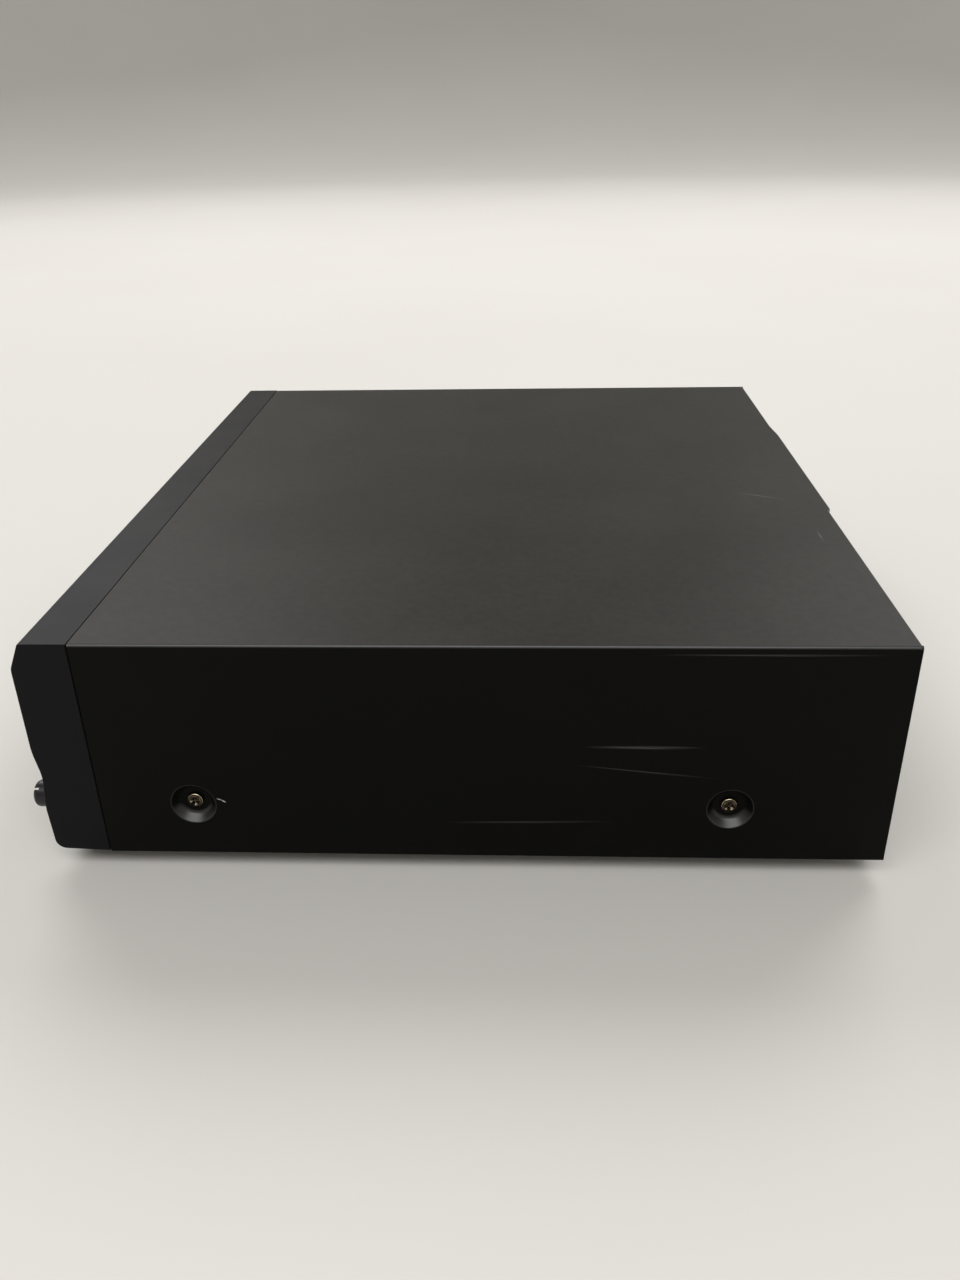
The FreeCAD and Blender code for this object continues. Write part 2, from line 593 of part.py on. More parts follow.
def chassis_base():
    """Steel pan: floor, four flanges, ears behind the dishes and posts for the boards and the deck."""
    inner = half_chassis - z.chassis_gauge
    front, rear = back(z.chassis_front_back), rear_face - z.rear_gauge
    rim = z.foot_height + z.chassis_flange
    parts = [
        bar("pan_floor", (-half_chassis, half_chassis), (front, rear), (z.foot_height, floor_top)),
        bar("pan_front", (-half_chassis, half_chassis), (front, front + z.chassis_gauge),
            (z.foot_height, rim)),
        bar("pan_rear", (-half_chassis, half_chassis), (rear - z.chassis_gauge, rear),
            (z.foot_height, rim)),
    ]
    holes = []
    for side in (-1, 1):
        low, high = sorted((signed(side, inner), signed(side, half_chassis)), key=number)
        parts.append(bar(f"pan_side{side + 1}", (low, high), (front, rear), (z.foot_height, rim)))
    for i, (side, y, height) in enumerate(dish_places()):
        low, high = sorted((signed(side, inner), signed(side, half_chassis)), key=number)
        half_ear = z.chassis_ear_width / 2
        parts.append(bar(f"pan_ear{i}", (low, high), (y - half_ear, y + half_ear),
                         (z.foot_height, height + z.chassis_ear_over)))
        holes.append(rod(f"ear_hole{i}", z.side_shaft_radius + z.screw_play, z.chassis_gauge * 3,
                         (signed(side, half_chassis + z.chassis_gauge), y, height), facing(-side)))
    for i, (x, y) in enumerate(foot_places()):
        holes.append(rod(f"pan_foot_hole{i}", z.foot_shaft_radius + z.screw_play, z.chassis_gauge * 3,
                         (x, y, z.foot_height - z.chassis_gauge)))
    for i, (x, y) in enumerate(board_post_places()):
        parts.append(rod(f"board_post{i}", z.post_radius, board_bottom - z.foot_height,
                         (x, y, z.foot_height)))
    for i, (x, y) in enumerate(deck_post_places()):
        parts.append(rod(f"deck_post{i}", z.deck_post_radius,
                         deck_bottom - z.damper_height - z.foot_height, (x, y, z.foot_height)))
    for row in range(2):
        for i in range(VENT_COUNT):
            x = -z.vent_side - z.vent_length / 2 + row * (2 * z.vent_side)
            holes.append(bar(f"vent{row}_{i}", (x, x + z.vent_length),
                             (back(z.vent_back + i * z.vent_pitch),
                              back(z.vent_back + i * z.vent_pitch + z.vent_width)),
                             (z.foot_height - z.chassis_gauge, floor_top + z.chassis_gauge)))
    return node("chassis_base", cut("chassis_base", fuse("pan", *parts), *holes))


def foot_places():
    for x in (-z.foot_side, z.foot_side):
        for where in (z.foot_front_back, z.foot_rear_back):
            yield x, back(where)


def deck_post_places():
    for x in (-z.damper_side, z.damper_side):
        for where in (z.damper_front_back, z.damper_rear_back):
            yield x, back(where)


def board_post_places():
    inset = z.board_post_inset
    for x in (-z.main_board_left + inset, z.main_board_right - inset):
        for y in (back(z.main_board_front + inset), back(z.main_board_rear - inset)):
            yield x, y
    for x in (-z.power_board_outer + inset, -z.power_board_inner - inset):
        for y in (back(z.power_board_front + inset), back(z.power_board_rear - inset)):
            yield x, y


def feet():
    """Moulded feet with a counterbore for the screw and a rubber pad let into each."""
    shells, pads, screws = [], [], []
    for i, (x, y) in enumerate(foot_places()):
        blank = cone(f"foot_blank{i}", z.foot_neck_radius, z.foot_radius,
                     z.foot_height - z.pad_depth + z.pad_seat, (x, y, z.pad_depth - z.pad_seat))
        seat = rod(f"pad_seat{i}", z.pad_radius + z.screw_play, z.pad_seat,
                   (x, y, z.pad_depth - z.pad_seat))
        counterbore = rod(f"foot_counterbore{i}", z.foot_head_radius + z.screw_play, z.foot_bore_depth,
                          (x, y, 0))
        hole = rod(f"foot_hole{i}", z.foot_shaft_radius + z.screw_play, z.foot_height, (x, y, 0))
        shells.append(cut(f"foot{i}", blank, seat, counterbore, hole))
        pads.append(rod(f"pad{i}", z.pad_radius, z.pad_depth, (x, y, 0)))
        screws.append(screw(f"foot_screw{i}", z.foot_head_radius,
                            z.foot_bore_depth - z.pad_depth - z.screw_play, z.foot_shaft_radius,
                            z.foot_shaft_length, (x, y, z.foot_bore_depth), "-z"))
    node("feet", group("feet", *shells), 4)
    node("foot_pads", group("foot_pads", *pads), 4)
    node("foot_screws", group("foot_screws", *screws), 4)


def cover_screws():
    """Silver screws in the side dishes, and small ones through the rear lip."""
    seat = z.half_case - z.dish_depth
    screws = [
        screw(f"side_screw{i}", z.side_head_radius, z.side_head_depth, z.side_shaft_radius,
              z.side_shaft_length, (signed(side, seat), y, height), facing(side))
        for i, (side, y, height) in enumerate(dish_places())
    ]
    node("side_screws", group("side_screws", *screws), 4)
    rear = [
        screw(f"rear_screw{i}", z.rear_head_radius, z.rear_head_depth, z.rear_shaft_radius,
              z.rear_shaft_length, (x, rear_edge, height), "y")
        for i, (x, height) in enumerate(rear_screw_places())
    ]
    node("rear_screws", group("rear_screws", *rear), 4)


def panel_outline():
    """The end profile of the front panel, from its top rear corner down the front to the heel."""
    return [
        (0, cover_top), (-z.panel_top_depth, cover_top, z.brow_radius),
        (-z.panel_reach, level(z.knee_height), z.knee_radius),
        (-z.panel_reach, level(z.belly_height), z.belly_radius),
        (-z.waist_reach, level(z.waist_height), z.waist_radius),
        (-z.chin_reach, level(z.chin_height), z.chin_radius),
        (-z.toe_reach, level(z.toe_height), z.toe_radius), (0, level(z.heel_height)),
    ]


def panel_cavity():
    wall = z.panel_wall
    return [
        (wall, cover_top - wall), (wall - z.panel_top_depth, cover_top - wall),
        (wall - z.panel_reach, level(z.knee_height)), (wall - z.panel_reach, level(z.belly_height)),
        (wall - z.waist_reach, level(z.waist_height)), (wall - z.chin_reach, level(z.chin_height)),
        (wall - z.toe_reach, level(z.toe_height) + wall, z.toe_radius - wall),
        (wall, level(z.heel_height) + wall),
    ]


def button_rows():
    """Name, place across the front and width of each button."""
    yield "power_button", -z.power_button_side, z.wide_button_width
    yield "open_close_button", -z.open_button_side, z.wide_button_width
    for i, name in enumerate(SMALL_BUTTONS):
        yield name, z.first_button_side + i * z.button_pitch, z.button_width
    yield "play_button", z.play_button_side, z.wide_button_width


def front_panel():
    """Moulded shell, open to the rear, with the mouth of the tray and the holes of the controls."""
    blank = prism("panel_blank", "YZ", panel_outline(), z.case_width, -z.half_case)
    cavity = prism("panel_cavity", "YZ", panel_cavity(), z.case_width - 2 * z.panel_wall,
                   -z.half_case + z.panel_wall)
    for piece, x in ((blank, -z.half_case), (cavity, -z.half_case + z.panel_wall)):
        place(piece, (x, joint_back, 0))
    shell = cut("panel_shell", blank, cavity)
    boss_front = back(-z.waist_reach + z.panel_wall / 2)
    bosses = [
        rod(f"panel_boss{i}", z.boss_radius, front_board_front - boss_front,
            (x, boss_front, level(z.boss_level)), "y")
        for i, x in enumerate((-z.boss_outer, -z.boss_inner, z.boss_inner, z.boss_outer))
    ]
    wall_front = back(-z.panel_reach - z.panel_wall)
    wall_depth = z.panel_wall * 3
    half_mouth = z.door_width / 2 + z.door_gap
    tools = [
        bar("mouth", (-half_mouth, half_mouth), (wall_front, wall_front + wall_depth),
            (level(z.door_bottom) - z.door_gap, level(z.door_bottom + z.door_height) + z.door_gap)),
        bar("window_hole", (-z.window_width / 2 - z.window_gap, z.window_width / 2 + z.window_gap),
            (wall_front, wall_front + wall_depth),
            (level(z.window_bottom) - z.window_gap,
             level(z.window_bottom + z.window_height) + z.window_gap)),
        rod("knob_hole", z.knob_stem_radius + z.knob_hole_play, wall_depth,
            (z.knob_side, wall_front, control_z), "y"),
        rod("phone_hole", z.phone_bush_radius + z.screw_play, wall_depth,
            (z.phone_side, wall_front, control_z), "y"),
    ]
    half_height = z.button_height / 2 + z.button_gap
    for name, x, width in button_rows():
        half = width / 2 + z.button_gap
        tools.append(bar(name + "_hole", (x - half, x + half), (wall_front, wall_front + wall_depth),
                         (button_z - half_height, button_z + half_height)))
    return node("front_panel", cut("front_panel", fuse("panel_body", shell, *bosses), *tools))


def buttons():
    """Each button is a cap, a flange that keeps it behind the wall and a stem in front of its switch."""
    switches = []
    for name, x, width in button_rows():
        face, flange = back(-z.button_reach), back(-z.flange_reach)
        cap = prism(
            name + "_cap", "XZ",
            rounded_plate(-width / 2, width / 2, -z.button_height / 2, z.button_height / 2, z.button_round),
            z.button_reach - z.flange_reach, face,
        )
        place(cap, (x, face, button_z))
        half, half_height = width / 2 + z.button_flange, z.button_height / 2 + z.button_flange
        keeper = bar(name + "_flange", (x - half, x + half), (flange, flange + z.flange_depth),
                     (button_z - half_height, button_z + half_height))
        stem_end = switch_front - z.stem_gap
        stem = rod(name + "_stem", z.button_stem_radius, stem_end - flange, (x, flange, button_z), "y")
        node(name, fuse(name, cap, keeper, stem))
        side = z.switch_side
        body = bar(name + "_switch", (x - side / 2, x + side / 2),
                   (front_board_front - z.switch_depth, front_board_front),
                   (button_z - side / 2, button_z + side / 2))
        plunger = rod(name + "_plunger", z.plunger_radius, z.plunger_length,
                      (x, switch_front, button_z), "y")
        switches.append(fuse(name + "_key", body, plunger))
    node("key_switches", group("key_switches", *switches), len(switches))


def front_controls():
    """Display window and tube, front board, level knob with its potentiometer, headphone jack."""
    front = back(-z.chin_reach + z.window_recess)
    half = z.window_width / 2
    node("display_window", bar(
        "display_window", (-half, half), (front, front + z.window_thickness),
        (level(z.window_bottom), level(z.window_bottom + z.window_height))))
    middle = level(z.window_bottom) + z.window_height / 2
    node("display_tube", bar(
        "display_tube", (-z.tube_width / 2, z.tube_width / 2),
        (front_board_front - z.tube_depth, front_board_front),
        (middle - z.tube_height / 2, middle + z.tube_height / 2)))
    half = z.half_case - z.panel_wall - z.front_board_margin
    node("front_board", bar(
        "front_board", (-half, half), (front_board_front, front_board_front + z.board_gauge),
        (level(z.front_board_bottom), level(z.front_board_bottom + z.front_board_height))))
    knob_front = back(-z.knob_reach)
    skirt = back(-z.chin_reach - z.knob_stand_off) - knob_front
    stem_end = back(-z.knob_stem_end)
    node("level_knob", turned(
        "level_knob",
        [(0, 0), (z.knob_radius, 0, z.knob_round), (z.knob_radius, skirt - z.knob_skirt_depth),
         (z.knob_skirt_radius, skirt - z.knob_skirt_depth), (z.knob_skirt_radius, skirt),
         (z.knob_stem_radius, skirt), (z.knob_stem_radius, stem_end - knob_front),
         (0, stem_end - knob_front)],
        (z.knob_side, knob_front, control_z), "y"))
    pot_front = front_board_front - z.pot_depth
    half = z.pot_side / 2
    pot = bar("pot_body", (z.knob_side - half, z.knob_side + half), (pot_front, front_board_front),
              (control_z - half, control_z + half))
    bush = rod("pot_bush", z.pot_bush_radius, z.pot_bush_length,
               (z.knob_side, pot_front - z.pot_bush_length, control_z), "y")
    bore = rod("pot_bore", z.knob_stem_radius + z.bearing_play,
               stem_end + z.hub_gap - pot_front + z.pot_bush_length,
               (z.knob_side, pot_front - z.pot_bush_length, control_z), "y")
    node("level_pot", cut("level_pot", fuse("pot_blank", pot, bush), bore))
    body_front = back(-z.phone_body_reach)
    half, half_height = z.phone_body_width / 2, z.phone_body_height / 2
    body = bar("phone_body", (z.phone_side - half, z.phone_side + half), (body_front, front_board_front),
               (control_z - half_height, control_z + half_height))
    bush = rod("phone_bush", z.phone_bush_radius, body_front - back(-z.phone_reach),
               (z.phone_side, back(-z.phone_reach), control_z), "y")
    bore = rod("phone_bore", z.phone_bore, front_board_front - z.phone_end - back(-z.phone_reach),
               (z.phone_side, back(-z.phone_reach), control_z), "y")
    node("headphone_jack", cut("headphone_jack", fuse("phone_blank", body, bush), bore))


def jack_places():
    for column in range(PHONO_COLUMNS):
        for row in range(2):
            yield z.jack_first + column * z.jack_pitch, level(z.jack_level + row * z.jack_row_pitch)


def rear_panel():
    inner = rear_face - z.rear_gauge
    half = z.half_case - z.cover_gauge - z.edge_gap
    sheet_piece = bar("rear_sheet", (-half, half), (inner, rear_face),
                      (z.foot_height, cover_top - z.cover_gauge - z.edge_gap))
    start, length = inner - z.rear_gauge, z.rear_gauge * 3
    holes = [
        rod(f"jack_hole{i}", z.jack_neck_radius + z.screw_play, length, (x, start, height), "y")
        for i, (x, height) in enumerate(jack_places())
    ]
    holes += [
        rod(f"panel_screw_hole{i}", z.rear_shaft_radius + z.screw_play, length, (x, start, height), "y")
        for i, (x, height) in enumerate(rear_screw_places())
    ]
    middle = level(z.jack_level + z.jack_row_pitch / 2)
    holes.append(rod("video_hole", z.video_radius + z.screw_play, length, (z.video_side, start, middle), "y"))
    for row in range(2):
        height = level(z.jack_level + row * z.jack_row_pitch)
        holes.append(rod(f"control_hole{row}", z.control_bush_radius + z.screw_play, length,
                         (z.control_side, start, height), "y"))
    half, half_height = z.inlet_body_width / 2 + z.screw_play, z.inlet_body_height / 2 + z.screw_play
    holes.append(bar("inlet_hole", (-z.inlet_side - half, -z.inlet_side + half), (start, start + length),
                     (level(z.inlet_level) - half_height, level(z.inlet_level) + half_height)))
    return node("rear_panel", cut("rear_panel", sheet_piece, *holes))


def rear_sockets():
    """Phono jacks, S-video socket, control jacks and the two-pin mains inlet, all open to the rear."""
    inner = rear_face - z.rear_gauge
    jacks = []
    for i, (x, height) in enumerate(jack_places()):
        half = z.jack_body_side / 2
        body = bar(f"jack_body{i}", (x - half, x + half), (inner - z.jack_body_depth, inner),
                   (height - half, height + half))
        neck = rod(f"jack_neck{i}", z.jack_neck_radius, z.rear_gauge, (x, inner, height), "y")
        flange = rod(f"jack_flange{i}", z.jack_flange_radius, z.jack_flange_depth,
                     (x, rear_face, height), "y")
        barrel = rod(f"jack_barrel{i}", z.jack_barrel_radius, z.jack_reach, (x, rear_face, height), "y")
        core = rod(f"jack_core{i}", z.jack_core_radius, z.jack_reach, (x, rear_face, height), "y")
        jacks.append(cut(f"jack{i}", fuse(f"jack_blank{i}", body, neck, flange, barrel), core))
    node("phono_jacks", group("phono_jacks", *jacks), len(jacks))
    middle = level(z.jack_level + z.jack_row_pitch / 2)
    x, tip = z.video_side, rear_face + z.video_reach
    shell = rod("video_shell", z.video_radius, z.video_reach + z.jack_body_depth,
                (x, tip, middle), "-y")
    bore = rod("video_bore", z.video_bore, z.video_bore_depth, (x, tip, middle), "-y")
    key = bar("video_key", (x - z.video_key, x + z.video_key), (tip - z.video_bore_depth, tip - z.video_key),
              (middle - z.video_key * 2, middle - z.video_key))
    contacts = [
        rod(f"video_pin{i}", z.video_pin_radius, z.video_bore_depth - z.video_key,
            (x + signed(i % 2 - 0.5, z.video_pin_side), tip - z.video_bore_depth, middle + lift), "y")
        for i, lift in enumerate((z.video_pin_low, z.video_pin_low, z.video_pin_high, z.video_pin_high))
    ]
    node("s_video_socket", fuse("s_video_socket", cut("video_cup", shell, bore), key, *contacts))
    controls = []
    for row in range(2):
        height = level(z.jack_level + row * z.jack_row_pitch)
        outer = rod(f"control_shell{row}", z.control_bush_radius, z.control_depth,
                    (z.control_side, rear_face + z.control_reach, height), "-y")
        hollow = rod(f"control_bore{row}", z.control_bore, z.control_depth - z.control_bush_radius,
                     (z.control_side, rear_face + z.control_reach, height), "-y")
        controls.append(cut(f"control_jack{row}", outer, hollow))
    node("control_jacks", group("control_jacks", *controls), 2)
    x, middle = -z.inlet_side, level(z.inlet_level)
    flange = bar("inlet_flange_plate", (x - z.inlet_width / 2, x + z.inlet_width / 2),
                 (rear_face, rear_face + z.inlet_flange),
                 (middle - z.inlet_height / 2, middle + z.inlet_height / 2))
    body = bar("inlet_body", (x - z.inlet_body_width / 2, x + z.inlet_body_width / 2),
               (rear_face + z.inlet_flange - z.inlet_depth, rear_face + z.inlet_flange),
               (middle - z.inlet_body_height / 2, middle + z.inlet_body_height / 2))
    mouth = rear_face + z.inlet_flange
    bay = prism(
        "inlet_bay", "XZ",
        rounded_plate(-z.inlet_bay_width / 2, z.inlet_bay_width / 2, -z.inlet_bay_height / 2,
                      z.inlet_bay_height / 2, z.inlet_bay_round),
        z.inlet_bay_depth, 0,
    )
    place(bay, (x, mouth - z.inlet_bay_depth, middle))
    pins = [
        rod(f"inlet_pin{i}", z.pin_radius, z.pin_length,
            (x + side * z.pin_pitch / 2, mouth - z.inlet_bay_depth, middle), "y")
        for i, side in enumerate((-1, 1))
    ]
    shell = cut("inlet_shell", fuse("inlet_blank", flange, body), bay)
    node("mains_inlet", fuse("mains_inlet", shell, *pins))


def boards():
    """Main and power boards on their posts, with what stands on them, and the front ribbon."""
    main = bar("main_board_sheet", (-z.main_board_left, z.main_board_right),
               (back(z.main_board_front), back(z.main_board_rear)), (board_bottom, board_top))
    clear = [
        rod(f"main_clear{i}", z.deck_post_radius + z.post_clear, z.board_gauge * 3,
            (z.damper_side, back(where), board_bottom - z.board_gauge))
        for i, where in enumerate((z.damper_front_back, z.damper_rear_back))
    ]
    node("main_board", cut("main_board", main, *clear))
    node("power_board", bar(
        "power_board", (-z.power_board_outer, -z.power_board_inner),
        (back(z.power_board_front), back(z.power_board_rear)), (board_bottom, board_top)))
    left, front = -z.main_board_left, back(z.main_board_front)
    width = z.main_board_right + z.main_board_left
    depth = z.main_board_rear - z.main_board_front
    chips = []
    for places, side in ((LARGE_CHIPS, z.chip_large), (SMALL_CHIPS, z.chip_small)):
        for across, along in places:
            x, y = left + width * across, front + depth * along
            chips.append(bar(f"chip{len(chips)}", (x - side / 2, x + side / 2), (y - side / 2, y + side / 2),
                             (board_top, board_top + z.chip_height)))
    node("board_chips", group("board_chips", *chips), len(chips))
    cans = [
        rod(f"can{i}", z.can_radius, z.can_height, (left + width * across, front + depth * along, board_top))
        for i, (across, along) in enumerate(CANS)
    ]
    span = z.power_board_rear - z.power_board_front
    x = -(z.power_board_inner + z.power_board_outer) / 2
    cans += [
        rod(f"bulk_can{i}", z.bulk_can_radius, z.bulk_can_height,
            (x, back(z.power_board_front) + span * along, board_top))
        for i, along in enumerate(BULK_CANS)
    ]
    node("capacitors", group("capacitors", *cans), len(cans))
    heat_sink()
    transformer()
    ribbon()


def heat_sink():
    """Upright aluminium web with fins on one side."""
    x, y = -z.sink_side, back(z.sink_back)
    top = board_top + z.sink_height
    web = bar("sink_web_plate", (x, x + z.sink_web), (y, y + z.sink_length), (board_top, top))
    fins = []
    for i in range(FIN_COUNT):
        start = y + i * z.sink_fin_pitch
        fins.append(bar(f"sink_fin{i}", (x, x + z.sink_web + z.sink_fin_reach),
                        (start, start + z.sink_fin), (board_top, top)))
    node("heat_sink", fuse("heat_sink", web, *fins))


def transformer():
    """Laminated core standing on the pan, with its bobbin through the middle."""
    x, y = -z.transformer_side, back(z.transformer_back)
    middle = y + z.coil_depth / 2
    half, reach = z.core_width / 2, z.core_width / 2 + z.transformer_foot
    along = (middle - z.core_depth / 2, middle + z.core_depth / 2)
    core = bar("core", (x - half, x + half), along, (floor_top, floor_top + z.core_height))
    base = bar("core_feet", (x - reach, x + reach), along, (floor_top, floor_top + z.transformer_foot))
    rise = floor_top + (z.core_height - z.coil_height) / 2
    coil = bar("coil", (x - z.coil_width / 2, x + z.coil_width / 2), (y, y + z.coil_depth),
               (rise, rise + z.coil_height))
    node("power_transformer", fuse("power_transformer", core, base, coil))


def ribbon():
    """Flat cable from the front board back and down to the main board."""
    start, top = -z.front_board_back, level(z.ribbon_level)
    end = z.ribbon_back
    outer, inner = z.ribbon_bend, z.ribbon_bend - z.ribbon_gauge
    band = prism(
        "ribbon_cable", "YZ",
        [(start, top), (start, top - z.ribbon_gauge), (end - z.ribbon_gauge, top - z.ribbon_gauge, inner),
         (end - z.ribbon_gauge, board_top), (end, board_top), (end, top, outer)],
        z.ribbon_width, z.ribbon_side,
    )
    place(band, (z.ribbon_side, joint_back, 0))
    node("ribbon_cable", band)


def mech_deck():
    """Plate that carries spindle, pickup and tray drive, with the blocks that hold the guide shafts."""
    plate = bar("deck_plate", (-z.deck_half_width, z.deck_half_width),
                (back(z.deck_front_back), back(z.deck_rear_back)), (deck_bottom, deck_top))
    parts, holes = [plate], []
    half = z.guide_block_width / 2
    for i, (side, start) in enumerate(guide_block_places()):
        x = side * z.guide_side
        parts.append(bar(f"guide_block{i}", (x - half, x + half), (start, start + z.guide_block_length),
                         (deck_bottom, level(z.guide_level) + z.guide_radius + z.guide_block_over)))
        holes.append(rod(f"guide_seat{i}", z.guide_radius + z.sleeve_play, z.guide_block_length,
                         (x, start, level(z.guide_level)), "y"))
    bores = (
        (0, spindle_y, z.spindle_boss_radius), (motor_x, drive_y, z.motor_neck_radius),
        (feed_motor_x, feed_y, z.motor_neck_radius),
    )
    for i, (x, y, radius) in enumerate(bores):
        holes.append(rod(f"deck_bore{i}", radius + z.screw_play, z.deck_gauge * 3,
                         (x, y, deck_bottom - z.deck_gauge)))
    return node("mech_deck", cut("mech_deck", fuse("deck_blank", *parts), *holes))


def guide_stop():
    """Where the rear guide blocks start, just behind the carriage's last place."""
    return spindle_y + z.carriage_start + z.carriage_length + z.carriage_travel + z.guide_stop_gap


def guide_block_places():
    first = spindle_y + z.guide_front_start
    last = guide_stop()
    for side in (-1, 1):
        for start in (first, last):
            yield side, start


def dampers():
    """Rubber mounts between the pan's posts and the deck."""
    mounts = [
        rod(f"damper{i}", z.damper_radius, z.damper_height, (x, y, deck_bottom - z.damper_height))
        for i, (x, y) in enumerate(deck_post_places())
    ]
    node("deck_dampers", group("deck_dampers", *mounts), 4)


def side_frames():
    """Upright steel webs with a foot flange on the pan and a head flange under the bridge."""
    front, rear = back(z.frame_front_back), back(z.frame_rear_back)
    head = level(z.frame_top)
    inner, outer = z.frame_side, z.frame_side + z.frame_gauge
    for side, name in ((-1, "side_frame_left"), (1, "side_frame_right")):
        spans = {
            "web": ((inner, outer), (front, rear), (floor_top, head)),
            "foot": ((inner, outer + z.frame_foot_width), (front, rear),
                     (floor_top, floor_top + z.frame_gauge)),
            "head": ((inner, outer + z.frame_head_width),
                     (back(z.bridge_front_back), back(z.bridge_rear_back)), (head - z.frame_gauge, head)),
        }
        parts = []
        for part, (across, along, up) in spans.items():
            low, high = across if side > 0 else (-across[1], -across[0])
            parts.append(bar(f"{name}_{part}", (low, high), along, up))
        node(name, fuse(name, *parts))


def tray_guides():
    """Channels on the side frames in which the tray's flanges slide."""
    front, rear = back(z.frame_front_back), back(z.frame_rear_back)
    bottom = level(z.guide_bottom)
    tip = z.tray_half_width + z.guide_tip_gap
    flange_bottom = tray_bottom_z
    flange_top = tray_bottom_z + z.tray_floor
    guides = []
    for side in (-1, 1):
        spans = (
            (z.frame_side - z.guide_base, z.frame_side, bottom, bottom + z.guide_height),
            (tip, z.frame_side, flange_bottom - z.tray_play - z.guide_shelf, flange_bottom - z.tray_play),
            (tip, z.frame_side, flange_top + z.tray_play, flange_top + z.tray_play + z.guide_shelf),
        )
        parts = []
        for i, (near, far, low, high) in enumerate(spans):
            x_range = (near, far) if side > 0 else (-far, -near)
            parts.append(bar(f"guide{side + 1}_{i}", x_range, (front, rear), (low, high)))
        guides.append(fuse(f"guide{side + 1}", *parts))
    node("tray_guides", group("tray_guides", *guides), 2)


def disc_tray():
    """Moulded tray: rim plate, disc recesses, pickup slot open to the rear, side flanges and front wall."""
    top = tray_bottom_z + z.tray_rim_height
    floor = tray_bottom_z + z.tray_floor
    front, rear = back(-z.panel_reach + z.door_thickness), back(z.tray_rear_back)
    half, skin = z.tray_half_width, z.tray_skin
    block = bar("tray_block", (-half, half), (front, rear), (tray_bottom_z, top))
    well = rod("tray_well", z.disc_radius, z.tray_rim_height, (0, spindle_y, floor))
    wall = rod("tray_wall", z.disc_radius + skin, z.tray_rim_height, (0, spindle_y, tray_bottom_z))
    under = bar("tray_under", (-half + skin, half - skin), (front + skin, rear - skin),
                (tray_bottom_z, top - skin))
    hollow = cut("tray_hollow", under, wall)
    wings = bar("tray_wings", (-half - z.tray_flange, half + z.tray_flange), (front, rear),
                (tray_bottom_z, floor))
    wing_hole = bar("wing_hole", (-half + skin, half - skin), (front - skin, rear + skin),
                    (tray_bottom_z - skin, floor + skin))
    flanges = cut("tray_flanges", wings, wing_hole)
    face = bar("tray_face", (-z.tray_front_width / 2, z.tray_front_width / 2), (front, front + skin),
               (level(z.tray_front_bottom), level(z.tray_front_top)))
    body = fuse("tray_body", cut("tray_shell", block, well, hollow), flanges, face)
    step = z.recess_step
    slot = bar("tray_slot", (-z.slot_half_width, z.slot_half_width), (spindle_y, rear + skin),
               (tray_bottom_z - skin, top + skin))
    eye = rod("tray_eye", z.slot_half_width, z.tray_rim_height * 2, (0, spindle_y, tray_bottom_z - skin))
    single = rod("single_recess", z.single_radius, z.tray_rim_height, (0, spindle_y, floor - step))
    small = rod("small_recess", z.small_radius, z.tray_rim_height, (0, spindle_y, floor - step * 2))
    node("disc_tray", cut("disc_tray", body, slot, eye, single, small))
    door_front = back(-z.panel_reach)
    door = prism(
        "tray_door", "XZ",
        rounded_plate(-z.door_width / 2, z.door_width / 2, 0, z.door_height, z.button_round),
        z.door_thickness, door_front,
    )
    place(door, (0, door_front, level(z.door_bottom)))
    node("tray_door", door)


def tooth_half_angle(teeth, radius, pitch_radius, share):
    """Half the angle that an involute tooth spans at a radius."""
    base = pitch_radius * math.cos(math.radians(z.pressure_angle.number))

    def roll(at):
        return math.acos(min(1, base / at))

    def involute(at):
        return math.tan(roll(at)) - roll(at)

    return math.pi * share / teeth + involute(pitch_radius) - involute(max(radius, base))


def gear_wheel(teeth, module, width, turn):
    """An involute gear from z = 0, with a tooth centred on +X turned by some degrees."""
    pitch_radius = teeth * module / 2
    tip = pitch_radius + z.tooth_above.number * module
    root = pitch_radius - z.tooth_below.number * module
    base = pitch_radius * math.cos(math.radians(z.pressure_angle.number))
    flank_start = max(base, root)
    radii = [root] + [flank_start + (tip - flank_start) * i / 3 for i in range(4)]
    points = []
    for tooth in range(teeth):
        centre = 2 * math.pi * tooth / teeth + math.radians(turn)
        halves = [tooth_half_angle(teeth, r, pitch_radius, z.tooth_share.number) for r in radii]
        flank = list(zip(radii, halves))
        for radius, half in flank:
            points.append((radius * math.cos(centre - half), radius * math.sin(centre - half)))
        for radius, half in reversed(flank):
            points.append((radius * math.cos(centre + half), radius * math.sin(centre + half)))
    return extruded(points, width)


def extruded(points, width):
    corners = [FreeCAD.Vector(x, y, 0) for x, y in points]
    face = Part.Face(Part.makePolygon(corners + corners[:1]))
    return face.extrude(FreeCAD.Vector(0, 0, width))


def rack_bar(module, length, width, first, height):
    """A toothed bar along +Y with its pitch line on x = 0, teeth to +X, a tooth centred at y = first."""
    pitch = math.pi * module
    tip, root = z.tooth_above.number * module, -z.tooth_below.number * module
    lean = math.tan(math.radians(z.pressure_angle.number))
    points = [(-width, 0), (-width, length)]
    edge = []
    half = pitch * z.tooth_share.number / 2
    for k in range(int(length / pitch) + 2):
        centre = first % pitch + k * pitch
        if centre - half + root * lean < 0 or centre + half - root * lean > length:
            continue
        edge += [(root, centre - half + root * lean), (tip, centre - half + tip * lean),
                 (tip, centre + half - tip * lean), (root, centre + half - root * lean)]
    outline_points = [(root, 0)] + edge + [(root, length), (-width, length), (-width, 0)]
    return extruded(outline_points, height)


